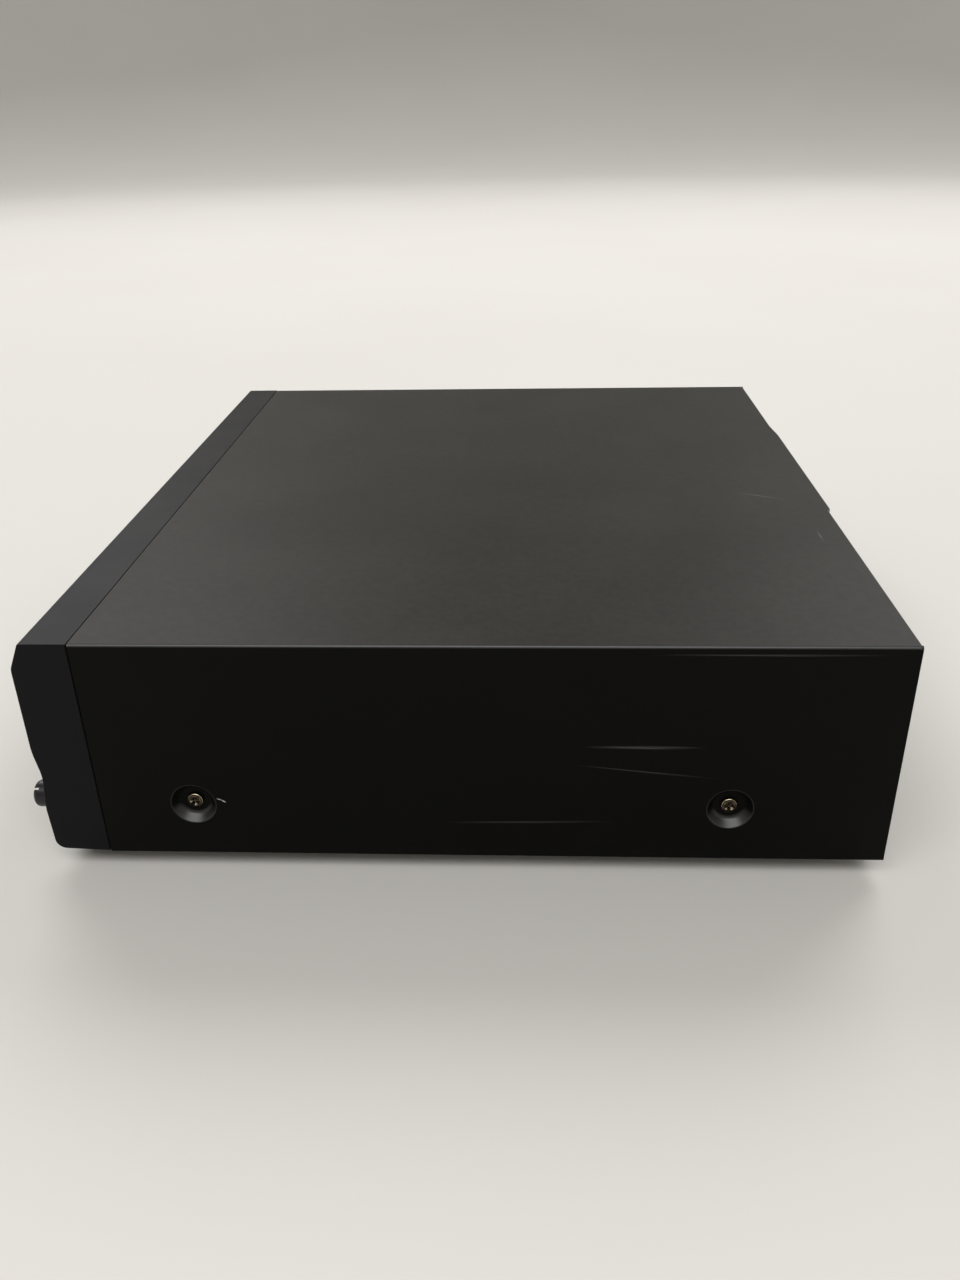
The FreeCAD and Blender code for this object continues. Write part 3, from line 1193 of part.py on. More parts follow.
def rack_drive():
    """The tray's rack and the gears on upright pins that drive it from the loading motor."""
    pitch = math.pi * z.rack_module.number
    length = z.rack_rear_back - z.rack_front_back
    first = z.drive_back - z.rack_front_back
    bar_shape = rack_bar(z.rack_module.number, length.number, z.rack_width.number,
                         first.number + pitch / 2, z.rack_height.number)
    node("tray_rack", built("tray_rack", bar_shape,
                            (-z.rack_side, back(z.rack_front_back), tray_bottom_z - z.rack_height)))
    wheel_z = level(z.wheel_level)
    lift = z.wheel_width.number
    rise = z.pinion_top.number - z.wheel_level.number
    wheel = gear_wheel(int(z.wheel_teeth.number), z.wheel_module.number, lift, 0)
    pinion = gear_wheel(int(z.pinion_teeth.number), z.rack_module.number, rise, 0)
    axle = Part.makeCylinder((z.pin_shaft_radius + z.shaft_play).number, rise * 2)
    node("drive_gear", built("drive_gear", wheel.fuse(pinion).cut(axle), (drive_x, drive_y, wheel_z)))
    half_tooth = 180 / z.small_teeth.number
    small_height = lift + 2 * z.hub_gap.number
    drop = (z.wheel_level - z.pulley_level).number
    small = gear_wheel(int(z.small_teeth.number), z.wheel_module.number, drop + small_height, half_tooth)
    cheek, seat_width = z.pulley_cheek.number, z.pulley_width.number
    rim = Part.makeCylinder(z.pulley_rim.number, seat_width)
    groove = Part.makeCylinder(z.pulley_rim.number, seat_width - 2 * cheek, FreeCAD.Vector(0, 0, cheek))
    seat = Part.makeCylinder(z.pulley_seat.number, seat_width)
    pulley = rim.cut(groove).fuse(seat).fuse(small)
    axle = Part.makeCylinder((z.pin_shaft_radius + z.shaft_play).number, drop + small_height)
    node("pulley_gear", built("pulley_gear", pulley.cut(axle), (pulley_x, drive_y, level(z.pulley_level))))
    node("motor_pulley", turned(
        "motor_pulley",
        [(z.motor_shaft_radius + z.shaft_play, 0), (z.motor_rim, 0), (z.motor_rim, z.pulley_cheek),
         (z.motor_seat, z.pulley_cheek), (z.motor_seat, z.pulley_width - z.pulley_cheek),
         (z.motor_rim, z.pulley_width - z.pulley_cheek), (z.motor_rim, z.pulley_width),
         (z.motor_shaft_radius + z.shaft_play, z.pulley_width)],
        (motor_x, drive_y, level(z.pulley_level))))
    drive_belt()
    can = rod("loading_can", z.loading_can_radius, z.loading_can_height,
              (motor_x, drive_y, deck_bottom - z.loading_can_height))
    neck = rod("loading_neck_ring", z.motor_neck_radius, z.deck_gauge, (motor_x, drive_y, deck_bottom))
    shaft = rod("loading_shaft", z.motor_shaft_radius, level(z.pulley_level) + z.pulley_width - deck_bottom,
                (motor_x, drive_y, deck_bottom))
    node("loading_motor", fuse("loading_motor", can, neck, shaft))
    pins = [
        rod("drive_pin", z.pin_shaft_radius, level(z.pinion_top) - deck_top, (drive_x, drive_y, deck_top)),
        rod("pulley_pin", z.pin_shaft_radius, level(z.wheel_level) + z.wheel_width + z.hub_gap - deck_top,
            (pulley_x, drive_y, deck_top)),
        rod("feed_pin", z.pin_shaft_radius, level(z.feed_wheel_level) + z.feed_wheel_width - deck_top,
            (feed_x, feed_y, deck_top)),
    ]
    collars = [
        rod("drive_collar", z.collar_radius, wheel_z - z.hub_gap - deck_top, (drive_x, drive_y, deck_top)),
        rod("pulley_collar", z.collar_radius, level(z.pulley_level) - z.hub_gap - deck_top,
            (pulley_x, drive_y, deck_top)),
        rod("feed_collar", z.collar_radius, level(z.feed_rack_level) - z.hub_gap - deck_top,
            (feed_x, feed_y, deck_top)),
    ]
    shafts = [fuse(f"gear_shaft{i}", pin, collar) for i, (pin, collar) in enumerate(zip(pins, collars))]
    node("gear_shafts", group("gear_shafts", *shafts), 3)


def belt_loop(big, small, gap, width):
    """A closed belt round two circles: two arcs and the straight runs between them, from z = 0."""
    lean = math.acos((big - small) / gap)
    cos, sin = math.cos(lean), math.sin(lean)
    up = FreeCAD.Vector(big * cos, big * sin, 0)
    down = FreeCAD.Vector(big * cos, -big * sin, 0)
    far_up = FreeCAD.Vector(gap + small * cos, small * sin, 0)
    far_down = FreeCAD.Vector(gap + small * cos, -small * sin, 0)
    edges = [
        Part.Arc(up, FreeCAD.Vector(-big, 0, 0), down).toShape(), Part.LineSegment(down, far_down).toShape(),
        Part.Arc(far_down, FreeCAD.Vector(gap + small, 0, 0), far_up).toShape(),
        Part.LineSegment(far_up, up).toShape(),
    ]
    return Part.Face(Part.Wire(edges)).extrude(FreeCAD.Vector(0, 0, width))


def drive_belt():
    play, gauge = z.belt_play.number, z.belt_gauge.number
    gap, width = z.motor_pulley_gap.number, z.belt_width.number
    big, small = z.pulley_seat.number + play, z.motor_seat.number + play
    loop = belt_loop(big + gauge, small + gauge, gap, width).cut(belt_loop(big, small, gap, width))
    height = level(z.pulley_level) + (z.pulley_width - z.belt_width) / 2
    node("drive_belt", built("drive_belt", loop, (pulley_x, drive_y, height)))


def spindle():
    """Spindle motor under the deck, and the turntable on its shaft."""
    floor = deck_bottom - z.spindle_can_height
    bore = z.spindle_shaft_radius + z.shaft_play
    boss_top = level(z.spindle_boss_top) - floor
    node("spindle_motor", turned(
        "spindle_motor",
        [(0, 0), (z.spindle_can_radius, 0, z.cover_bend),
         (z.spindle_can_radius, z.spindle_can_height, z.cover_bend),
         (z.spindle_boss_radius, z.spindle_can_height), (z.spindle_boss_radius, boss_top),
         (bore, boss_top), (bore, z.spindle_shaft_floor), (0, z.spindle_shaft_floor)],
        (0, spindle_y, floor)))
    low = floor + z.spindle_shaft_floor + z.hub_gap
    under, top = level(z.table_bottom) - low, level(z.table_top) - low
    shaft_top = level(z.spindle_boss_top) + z.hub_gap - low
    mat_floor = top - z.mat_depth
    hub, cone_top = top + z.hub_height, top + z.hub_height + z.cone_height
    node("turntable", turned(
        "turntable",
        [(0, 0), (z.spindle_shaft_radius, 0), (z.spindle_shaft_radius, shaft_top),
         (z.table_hub_radius, shaft_top), (z.table_hub_radius, top - z.table_web),
         (z.table_radius - z.table_rim, top - z.table_web), (z.table_radius - z.table_rim, under),
         (z.table_radius, under), (z.table_radius, mat_floor), (z.hub_radius, mat_floor), (z.hub_radius, hub),
         (z.cone_radius, hub), (z.cone_tip_radius, cone_top), (0, cone_top)],
        (0, spindle_y, low)))
    depth, seat = z.mat_depth + z.mat_proud, (0, spindle_y, level(z.table_top) - z.mat_depth)
    outer = rod("mat_outer", z.table_radius, depth, seat)
    inner = rod("mat_inner", z.mat_inner_radius, depth, seat)
    node("turntable_mat", cut("turntable_mat", outer, inner))


def clamp():
    """Bridge over the tray, the arm hinged under it and the puck that hangs in the arm's nose."""
    head = level(z.frame_top)
    half = z.bridge_half_width
    front, rear = back(z.bridge_front_back), back(z.bridge_rear_back)
    hinge_y, hinge_z = back(z.hinge_back), head - z.hinge_drop
    plate = bar("bridge_plate", (-half, half), (front, rear), (head, head + z.bridge_gauge))
    lip = bar("bridge_lip_plate", (-z.frame_side + z.guide_base, z.frame_side - z.guide_base),
              (rear - z.bridge_gauge, rear), (head - z.bridge_lip, head))
    lugs, holes, pins = [], [], []
    for side in (-1, 1):
        x_range = (z.lug_side, z.lug_side + z.lug_gauge)
        low, high = x_range if side > 0 else (-x_range[1], -x_range[0])
        lugs.append(bar(f"bridge_lug{side + 1}", (low, high),
                        (hinge_y - z.lug_radius, hinge_y + z.lug_radius), (hinge_z, head)))
        lugs.append(rod(f"bridge_ear{side + 1}", z.lug_radius, z.lug_gauge, (low, hinge_y, hinge_z), "x"))
        holes.append(rod(f"lug_hole{side + 1}", z.hinge_pin_radius + z.shaft_play, z.lug_gauge * 3,
                         (low - z.lug_gauge, hinge_y, hinge_z), "x"))
        pins.append(rod(f"arm_pin{side + 1}", z.hinge_pin_radius, z.hinge_pin_length,
                        (side * (z.lug_side - z.arm_side_gap - z.lug_gauge), hinge_y, hinge_z), facing(side)))
    node("clamp_bridge", cut("clamp_bridge", fuse("bridge_blank", plate, lip, *lugs), *holes))
    arm_z = level(z.arm_level)
    arm_edge = z.lug_side - z.arm_side_gap
    body = prism(
        "arm_plate", "XY",
        [(-z.arm_nose_radius, -z.arm_nose_radius, z.arm_nose_round),
         (z.arm_nose_radius, -z.arm_nose_radius, z.arm_nose_round),
         (z.arm_nose_radius, z.arm_nose_radius), (arm_edge, z.hinge_behind - z.lug_radius * 2),
         (arm_edge, z.hinge_behind + z.lug_radius),
         (-arm_edge, z.hinge_behind + z.lug_radius),
         (-arm_edge, z.hinge_behind - z.lug_radius * 2), (-z.arm_nose_radius, z.arm_nose_radius)],
        z.arm_gauge, arm_z,
    )
    place(body, (0, spindle_y, arm_z))
    cheeks = []
    for side in (-1, 1):
        x_range = (arm_edge - z.lug_gauge, arm_edge)
        low, high = x_range if side > 0 else (-x_range[1], -x_range[0])
        cheeks.append(bar(f"arm_cheek{side + 1}", (low, high),
                          (hinge_y - z.lug_radius / 2, hinge_y + z.lug_radius / 2),
                          (arm_z, hinge_z + z.hinge_pin_radius)))
    hole = rod("arm_hole", z.arm_hole_radius, z.arm_gauge * 3, (0, spindle_y, arm_z - z.arm_gauge))
    node("clamp_arm", cut("clamp_arm", fuse("arm_blank", body, *cheeks, *pins), hole))
    bottom = level(z.table_top) + z.mat_proud + z.clamp_gap
    ceiling = arm_z + z.arm_gauge + z.clamp_gap - bottom
    recess = z.hub_height + z.cone_height + z.clamp_gap * 2
    node("clamper", turned(
        "clamper",
        [(0, recess), (z.puck_recess_radius, recess), (z.puck_recess_radius, 0), (z.puck_radius, 0),
         (z.puck_radius, z.puck_rim_height, z.cover_bend), (z.puck_neck_radius, z.puck_rim_height),
         (z.puck_neck_radius, ceiling), (z.cap_radius, ceiling), (z.cap_radius, ceiling + z.cap_height),
         (0, ceiling + z.cap_height)],
        (0, spindle_y, bottom)))


def pickup():
    """Guide shafts, the carriage with its rack and lens, and the feed gears."""
    shaft_z = level(z.guide_level)
    first = spindle_y + z.guide_front_start
    last = guide_stop() + z.guide_block_length
    shafts = [
        rod(f"guide_shaft{i}", z.guide_radius, last - first, (side * z.guide_side, first, shaft_z), "y")
        for i, side in enumerate((-1, 1))
    ]
    node("guide_shafts", group("guide_shafts", *shafts), 2)
    start = spindle_y + z.carriage_start
    end = start + z.carriage_length
    floor = level(z.carriage_floor)
    half = z.carriage_half_width
    parts = [bar("carriage_block", (-half, half), (start, end), (floor, floor + z.carriage_height))]
    bores = []
    for i, side in enumerate((-1, 1)):
        x = side * z.guide_side
        parts.append(rod(f"sleeve{i}", z.sleeve_radius, z.carriage_length, (x, start, shaft_z), "y"))
        low, high = (half, z.guide_side) if side > 0 else (-z.guide_side, -half)
        parts.append(bar(f"sleeve_web{i}", (low, high), (start, end),
                         (shaft_z - z.guide_radius, shaft_z + z.guide_radius)))
        bores.append(rod(f"sleeve_bore{i}", z.guide_radius + z.sleeve_play, z.carriage_length,
                         (x, start, shaft_z), "y"))
    lens_y = spindle_y + z.lens_centre
    tower = rod("lens_tower", z.lens_ring_radius, level(z.lens_tower_top) - floor - z.carriage_height,
                (0, lens_y, floor + z.carriage_height))
    skirt = cone("lens_skirt", z.lens_ring_radius + z.lens_skirt_depth, z.lens_ring_radius,
                 z.lens_skirt_depth, (0, lens_y + z.lens_skirt_depth, floor + z.carriage_height))
    parts += [tower, skirt]
    rack_bottom = level(z.feed_rack_level)
    rack_tie = bar("rack_tie", (z.guide_side, z.feed_rack_side - 2 * z.feed_module),
                   (end - z.guide_block_length, end), (rack_bottom, rack_bottom + z.feed_rack_height))
    parts.append(rack_tie)
    lens_seat = (0, lens_y, level(z.lens_tower_top) - z.lens_depth)
    bores.append(rod("lens_seat", z.lens_radius, z.lens_depth, lens_seat))
    length = z.carriage_start + z.carriage_length + z.feed_rack_lead
    rack_front = spindle_y - z.feed_rack_lead
    pitch = math.pi * z.feed_module.number
    first_tooth = (z.feed_gear_start + z.feed_rack_lead).number + pitch / 2
    shape = rack_bar(z.feed_module.number, length.number, z.feed_rack_width.number, first_tooth,
                     z.feed_rack_height.number)
    rack = built("carriage_rack", shape, (z.feed_rack_side, rack_front, rack_bottom))
    node("carriage", cut("carriage", fuse("carriage_blank", *parts, rack), *bores))
    node("objective_lens", rod("objective_lens", z.lens_radius, z.lens_depth, lens_seat))
    lift = (z.feed_wheel_level - z.feed_rack_level).number
    pinion = gear_wheel(int(z.feed_pinion_teeth.number), z.feed_module.number, lift, 0)
    wheel = gear_wheel(int(z.feed_wheel_teeth.number), z.feed_wheel_module.number,
                       z.feed_wheel_width.number, 0)
    wheel.translate(FreeCAD.Vector(0, 0, lift))
    axle = Part.makeCylinder((z.pin_shaft_radius + z.shaft_play).number, lift + z.feed_wheel_width.number)
    node("feed_gear", built("feed_gear", pinion.fuse(wheel).cut(axle), (feed_x, feed_y, rack_bottom)))
    small = gear_wheel(int(z.feed_small_teeth.number), z.feed_wheel_module.number,
                       z.feed_wheel_width.number + 2 * z.hub_gap.number, 180 / z.feed_small_teeth.number)
    axle = Part.makeCylinder((z.motor_shaft_radius + z.shaft_play).number, z.feed_wheel_width.number * 2)
    node("feed_pinion", built("feed_pinion", small.cut(axle),
                              (feed_motor_x, feed_y, level(z.feed_wheel_level) - z.hub_gap)))
    can = rod("feed_can", z.feed_can_radius, z.feed_can_height,
              (feed_motor_x, feed_y, deck_bottom - z.feed_can_height))
    neck = rod("feed_neck", z.motor_neck_radius, z.deck_gauge, (feed_motor_x, feed_y, deck_bottom))
    shaft = rod("feed_shaft", z.motor_shaft_radius,
                level(z.feed_wheel_level) + z.feed_wheel_width - deck_bottom,
                (feed_motor_x, feed_y, deck_bottom))
    node("feed_motor", fuse("feed_motor", can, neck, shaft))


# Gear centres: half the pitch circles apart and a little slack.
drive_x = derive("drive_x", -z.rack_side + z.pinion_teeth * z.rack_module / 2 + z.mesh_slack)
drive_y = derive("drive_y", joint_back + z.drive_back)
pulley_x = derive(
    "pulley_x", drive_x + (z.wheel_teeth + z.small_teeth) * z.wheel_module / 2 + z.mesh_slack
)
motor_x = derive("motor_x", pulley_x + z.motor_pulley_gap)
feed_x = derive("feed_x", z.feed_rack_side + z.feed_pinion_teeth * z.feed_module / 2 + z.mesh_slack)
feed_y = derive("feed_y", spindle_y + z.feed_gear_start)
feed_motor_x = derive(
    "feed_motor_x",
    feed_x + (z.feed_wheel_teeth + z.feed_small_teeth) * z.feed_wheel_module / 2 + z.mesh_slack,
)

top_cover()
chassis_base()
feet()
cover_screws()
front_panel()
buttons()
front_controls()
rear_panel()
rear_sockets()
boards()
mech_deck()
dampers()
side_frames()
tray_guides()
disc_tray()
rack_drive()
spindle()
clamp()
pickup()

doc.recompute()

for piece in doc.Objects:
    if "Invalid" in piece.State or "Error" in piece.State:
        raise SystemExit(f"{piece.Label} failed: {piece.State}")
for name, (piece, solids) in nodes.items():
    shape = piece.Shape
    if shape.isNull() or not shape.isValid():
        raise SystemExit(f"{name} is null or not valid")
    if len(shape.Solids) != solids:
        raise SystemExit(f"{name} has {len(shape.Solids)} solids, not {solids}")

os.makedirs("parts", exist_ok=True)
for name, (piece, solids) in nodes.items():
    piece.Shape.exportStep(f"parts/{name}.step")
print(len(nodes), "nodes")
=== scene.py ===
"""Fine shapes and finishes of a laserdisc player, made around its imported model, with a stage and a camera."""

import json
import math
from functools import partial

import bmesh
import bpy
import numpy as np
from mathutils import Matrix, Vector, geometry

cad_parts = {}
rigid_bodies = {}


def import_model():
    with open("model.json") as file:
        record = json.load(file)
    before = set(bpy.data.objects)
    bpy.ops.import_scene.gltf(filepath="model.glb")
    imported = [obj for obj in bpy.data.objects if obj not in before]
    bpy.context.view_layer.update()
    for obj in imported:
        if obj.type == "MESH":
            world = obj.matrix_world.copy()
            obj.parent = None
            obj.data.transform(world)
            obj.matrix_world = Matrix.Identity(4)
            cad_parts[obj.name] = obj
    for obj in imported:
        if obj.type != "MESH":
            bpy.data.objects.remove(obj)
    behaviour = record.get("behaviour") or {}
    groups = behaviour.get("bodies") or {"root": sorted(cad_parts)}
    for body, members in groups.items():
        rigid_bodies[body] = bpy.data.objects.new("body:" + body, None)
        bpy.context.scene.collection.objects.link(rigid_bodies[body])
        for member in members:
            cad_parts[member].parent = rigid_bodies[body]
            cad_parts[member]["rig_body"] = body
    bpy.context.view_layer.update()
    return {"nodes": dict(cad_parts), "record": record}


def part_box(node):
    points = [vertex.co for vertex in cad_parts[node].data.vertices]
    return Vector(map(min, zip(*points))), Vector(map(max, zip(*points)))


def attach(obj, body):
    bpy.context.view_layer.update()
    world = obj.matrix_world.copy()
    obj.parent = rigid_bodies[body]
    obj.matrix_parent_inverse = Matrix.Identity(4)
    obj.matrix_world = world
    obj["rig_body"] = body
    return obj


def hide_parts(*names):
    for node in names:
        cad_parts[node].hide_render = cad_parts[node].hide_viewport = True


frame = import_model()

bl_info = {
    "name": "Laserdisc player",
    "version": (1, 0, 0),
    "blender": (4, 5, 0),
    "location": "3D View > Sidebar > Player",
    "description": "Makes the visible pieces and finishes of a laserdisc player",
    "category": "Object",
}

MM = 0.001
NODES = frame["nodes"]
SLOT_OF = {part["node"]: part["material_slot"] for part in frame["record"]["subparts"]}
BUTTONS = (
    "power_button", "open_close_button", "skip_back_button", "skip_forward_button",
    "pause_button", "stop_button", "play_button",
)

# Where the photograph was taken from, in the frame of the part: metres and degrees.
CAMERA_PLACE = (0.59745, 0.03201, 0.32076)
CAMERA_YAW = 3.073
CAMERA_PITCH = 27.388
CAMERA_ROLL = -1.268
CAMERA_LENS = 30.05
SENSOR_SIZE = 36.0


def linear(code):
    """An sRGB hex colour as the linear RGBA that the shaders take."""
    channels = [int(code[i:i + 2], 16) / 255 for i in (0, 2, 4)]
    return tuple(c / 12.92 if c <= 0.04045 else ((c + 0.055) / 1.055) ** 2.4 for c in channels) + (1.0,)


# Shapes

def grid(points, wrap=False):
    """Quads between the neighbouring rows and columns of an (n, m, 3) array. With wrap, the last column is
    joined to the first."""
    rows, columns = points.shape[:2]
    i = np.arange(rows - 1)[:, None] * columns
    j = np.arange(columns if wrap else columns - 1)[None]
    k = (j + 1) % columns
    quads = np.stack([i + j, i + k, i + columns + k, i + columns + j], axis=-1).reshape(-1, 4)
    return points.reshape(-1, 3), quads


def rounded(corners, closed=True, step=15):
    """A path of straight runs in which each corner (u, v, radius) is an arc tangent to both of its runs."""
    spots = np.array([c[:2] for c in corners], float)
    path = []
    for i, (*_, radius) in enumerate(corners):
        ends = not closed and i in (0, len(corners) - 1)
        if ends or radius == 0:
            path.append(spots[i:i + 1])
            continue
        before, after = spots[i - 1] - spots[i], spots[(i + 1) % len(corners)] - spots[i]
        before, after = before / np.linalg.norm(before), after / np.linalg.norm(after)
        half = math.acos(np.clip(before @ after, -1, 1)) / 2
        middle = (before + after) / np.linalg.norm(before + after)
        centre = spots[i] + middle * radius / math.sin(half)
        swing = math.pi / 2 - half
        count = max(2, int(math.degrees(2 * swing) / step) + 1)
        turn = np.linspace(-swing, swing, count)
        side = np.array([-middle[1], middle[0]])
        side = side if side @ after > 0 else -side
        path.append(centre - radius * np.cos(turn)[:, None] * middle + radius * np.sin(turn)[:, None] * side)
    return np.concatenate(path)


def circle(radius, count):
    turn = np.linspace(0, 2 * math.pi, count, endpoint=False)
    return radius * np.stack([np.cos(turn), np.sin(turn)], axis=1)


def lathed(profile, count=48):
    """Rings about Z: each profile point (r, h) becomes (r cos t, r sin t, h) for t round the circle."""
    ring = circle(1, count)
    r, h = profile[:, 0][:, None], profile[:, 1][:, None]
    points = np.stack([r * ring[:, 0], r * ring[:, 1], np.broadcast_to(h, (len(profile), count))], axis=-1)
    return grid(points, wrap=True)


def inside(points, loop):
    """Which of the points (n, 2) lie in a loop, by counting the edges that a ray from each one crosses."""
    a, b = loop, np.roll(loop, -1, axis=0)
    x, y = points[:, 0][:, None], points[:, 1][:, None]
    rise = np.where(b[:, 1] == a[:, 1], 1e-12, b[:, 1] - a[:, 1])
    crossing = (a[:, 1] > y) != (b[:, 1] > y)
    reach = a[:, 0] + (y - a[:, 1]) * (b[:, 0] - a[:, 0]) / rise
    return (crossing & (x < reach)).sum(axis=1) % 2 == 1


def flat_face(outline, holes=(), height=0.0, rings=(), lines=()):
    """Triangles that fill an outline in the plane Z = height and leave its holes open. Their edges also
    follow the given rings and lines."""
    loops = [outline, *holes, *rings]
    spots = [Vector(p) for loop in loops for p in loop]
    edges, start = [], 0
    for loop in loops:
        edges += [(start + i, start + (i + 1) % len(loop)) for i in range(len(loop))]
        start += len(loop)
    for first, last in lines:
        spots += [Vector(first), Vector(last)]
        edges.append((len(spots) - 2, len(spots) - 1))
    found = geometry.delaunay_2d_cdt(spots, edges, [], 0, 1e-7)
    points, faces = np.array([p[:] for p in found[0]]), np.array([f for f in found[2] if len(f) == 3])
    middles = points[faces].mean(axis=1)
    keep = inside(middles, np.asarray(outline))
    for hole in holes:
        keep &= ~inside(middles, np.asarray(hole))
    return np.column_stack([points, np.full(len(points), height)]), faces[keep]


def placed(part, origin, axis="z", turn=0.0):
    """Turns a part about its own Z, carries its Z onto an axis such as "-y", and moves it to its origin."""
    points, faces = part
    sign = -1 if axis.startswith("-") else 1
    target = Vector([sign if name == axis[-1] else 0 for name in "xyz"])
    spin = Vector((0, 0, 1)).rotation_difference(target).to_matrix() @ Matrix.Rotation(turn, 3, "Z")
    return points @ np.array(spin).T + np.array(origin), faces


def piece(name, parts, smooth=40):
    """One object from several parts: points that coincide are joined, seams are closed, and faces are made to
    point outwards. Edges sharper than the angle given as smooth stay sharp."""
    mesh = bpy.data.meshes.new(name)
    count, points, faces = 0, [], []
    for part_points, part_faces in parts:
        points.append(part_points)
        if isinstance(part_faces, np.ndarray):
            faces += (part_faces + count).tolist()
        else:
            faces += [[i + count for i in face] for face in part_faces]
        count += len(part_points)
    mesh.from_pydata(np.concatenate(points).tolist(), [], faces)
    work = bmesh.new()
    work.from_mesh(mesh)
    bmesh.ops.remove_doubles(work, verts=work.verts, dist=1e-6)
    bmesh.ops.dissolve_degenerate(work, edges=work.edges, dist=1e-7)
    stitch(work)
    bmesh.ops.recalc_face_normals(work, faces=work.faces)
    work.to_mesh(mesh)
    work.free()
    shade(mesh, smooth)
    item = bpy.data.objects.new(name, mesh)
    bpy.context.scene.collection.objects.link(item)
    weigh_normals(item)
    return item


def stitch(work):
    """Closes seams where a corner of one face lies on the open edge of another: that edge is split there, and
    the corners are joined."""
    nearly = 0.06 * MM
    corners = {corner for edge in work.edges if edge.is_boundary for corner in edge.verts}
    for corner in sorted(corners, key=lambda vert: vert.index):
        for edge in [edge for edge in work.edges if edge.is_boundary and corner not in edge.verts]:
            start, end = edge.verts
            span = end.co - start.co
            share = (corner.co - start.co).dot(span) / span.length_squared
            if 0.001 < share < 0.999 and (start.co + share * span - corner.co).length < nearly:
                bmesh.utils.edge_split(edge, start, share)[1].co = corner.co
    bmesh.ops.remove_doubles(work, verts=work.verts, dist=1e-6)


def weigh_normals(item):
    """Lets large faces keep their own normals, so that only the small faces of a rounded edge bend the
    light."""
    weights = item.modifiers.new("face_weighted_normals", "WEIGHTED_NORMAL")
    weights.keep_sharp = True


def shade(mesh, angle):
    mesh.polygons.foreach_set("use_smooth", np.ones(len(mesh.polygons), bool))
    mesh.set_sharp_from_angle(angle=math.radians(angle))


def softened(node, name, edge):
    """A copy of a node's solid, its triangles joined into faces and its sharp edges rounded by a real
    radius."""
    mesh = NODES[node].data.copy()
    mesh.name = name
    mesh.materials.clear()
    work = bmesh.new()
    work.from_mesh(mesh)
    bmesh.ops.remove_doubles(work, verts=work.verts, dist=1e-6)
    bmesh.ops.dissolve_limit(work, angle_limit=math.radians(0.5), verts=work.verts, edges=work.edges)
    work.to_mesh(mesh)
    work.free()
    shade(mesh, 35)
    item = bpy.data.objects.new(name, mesh)
    bpy.context.scene.collection.objects.link(item)
    rounding = item.modifiers.new("edge_rounding", "BEVEL")
    rounding.width = edge
    rounding.segments = 2
    rounding.limit_method = "ANGLE"
    rounding.angle_limit = math.radians(40)
    rounding.use_clamp_overlap = True
    weigh_normals(item)
    return item


def detail(item, material, body):
    """Gives its finish and body to a fine piece that stands for no node of its own."""
    item.data.materials.clear()
    item.data.materials.append(material)
    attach(item, body)


def finish(item, material, node):
    """Gives a piece its finish, and the body of the node that it stands for."""
    detail(item, material, NODES[node]["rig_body"])
    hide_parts(node)


# Materials

def feed(node, inputs):
    """Sets or links a node's sockets, given in order, or by name or number."""
    for key, value in inputs.items() if isinstance(inputs, dict) else enumerate(inputs):
        if isinstance(value, bpy.types.NodeSocket):
            node.id_data.links.new(value, node.inputs[key])
        else:
            node.inputs[key].default_value = value


def add_to(tree, kind, inputs=(), output=0, **settings):
    """Adds one shader node with its settings, feeds its sockets and gives one of its outputs."""
    node = tree.nodes.new("ShaderNode" + kind)
    for name, value in settings.items():
        setattr(node, name, value)
    feed(node, inputs)
    return node.outputs[output]


def blank(name):
    """A new material with a Principled shader. Gives the material, a function that adds a node to it, the
    shader and the object's coordinates."""
    material = bpy.data.materials.new(name)
    material.use_nodes = True
    add = partial(add_to, material.node_tree)
    return material, add, material.node_tree.nodes["Principled BSDF"], add("TexCoord", output="Object")


def shift(colour, share):
    """A colour made lighter or darker by a share of itself."""
    return tuple(min(1.0, c * (1 + share)) for c in colour[:3]) + (1.0,)


def overlaid(add, where, under, over):
    """One finish over another, as far as a mask goes from 0 to 1. The node's colours are its sockets 6 and 7,
    and its blended colour is its output 2."""
    return add("Mix", {0: where, 6: under, 7: over}, 2, data_type="RGBA")


def toned(add, pattern, colour, darker, lighter):
    """A colour that a pattern, from 0 to 1, makes darker or lighter by shares of itself."""
    return overlaid(add, pattern, shift(colour, -darker), shift(colour, lighter))


def baked_enamel(name, colour, grain):
    """Fine-texture enamel baked on sheet steel: satin, with an orange-peel grain and faint rubbed patches."""
    material, add, shader, place = blank(name)
    patches = add("TexNoise", {"Vector": place, "Scale": 1 / 0.07, "Detail": 3.0})
    peel = add("TexNoise", {"Vector": place, "Scale": 1 / grain, "Detail": 3.0})
    feed(shader, {
        "Base Color": toned(add, add("MapRange", (patches, 0.35, 0.65, 0, 1)), colour, 0.06, 0.08),
        "Roughness": add("MapRange", (patches, 0.3, 0.7, 0.37, 0.39)),
        "Specular IOR Level": 0.07,
        "Normal": add("Bump", {"Height": peel, "Distance": 0.00002, "Strength": 0.6}),
    })
    return material


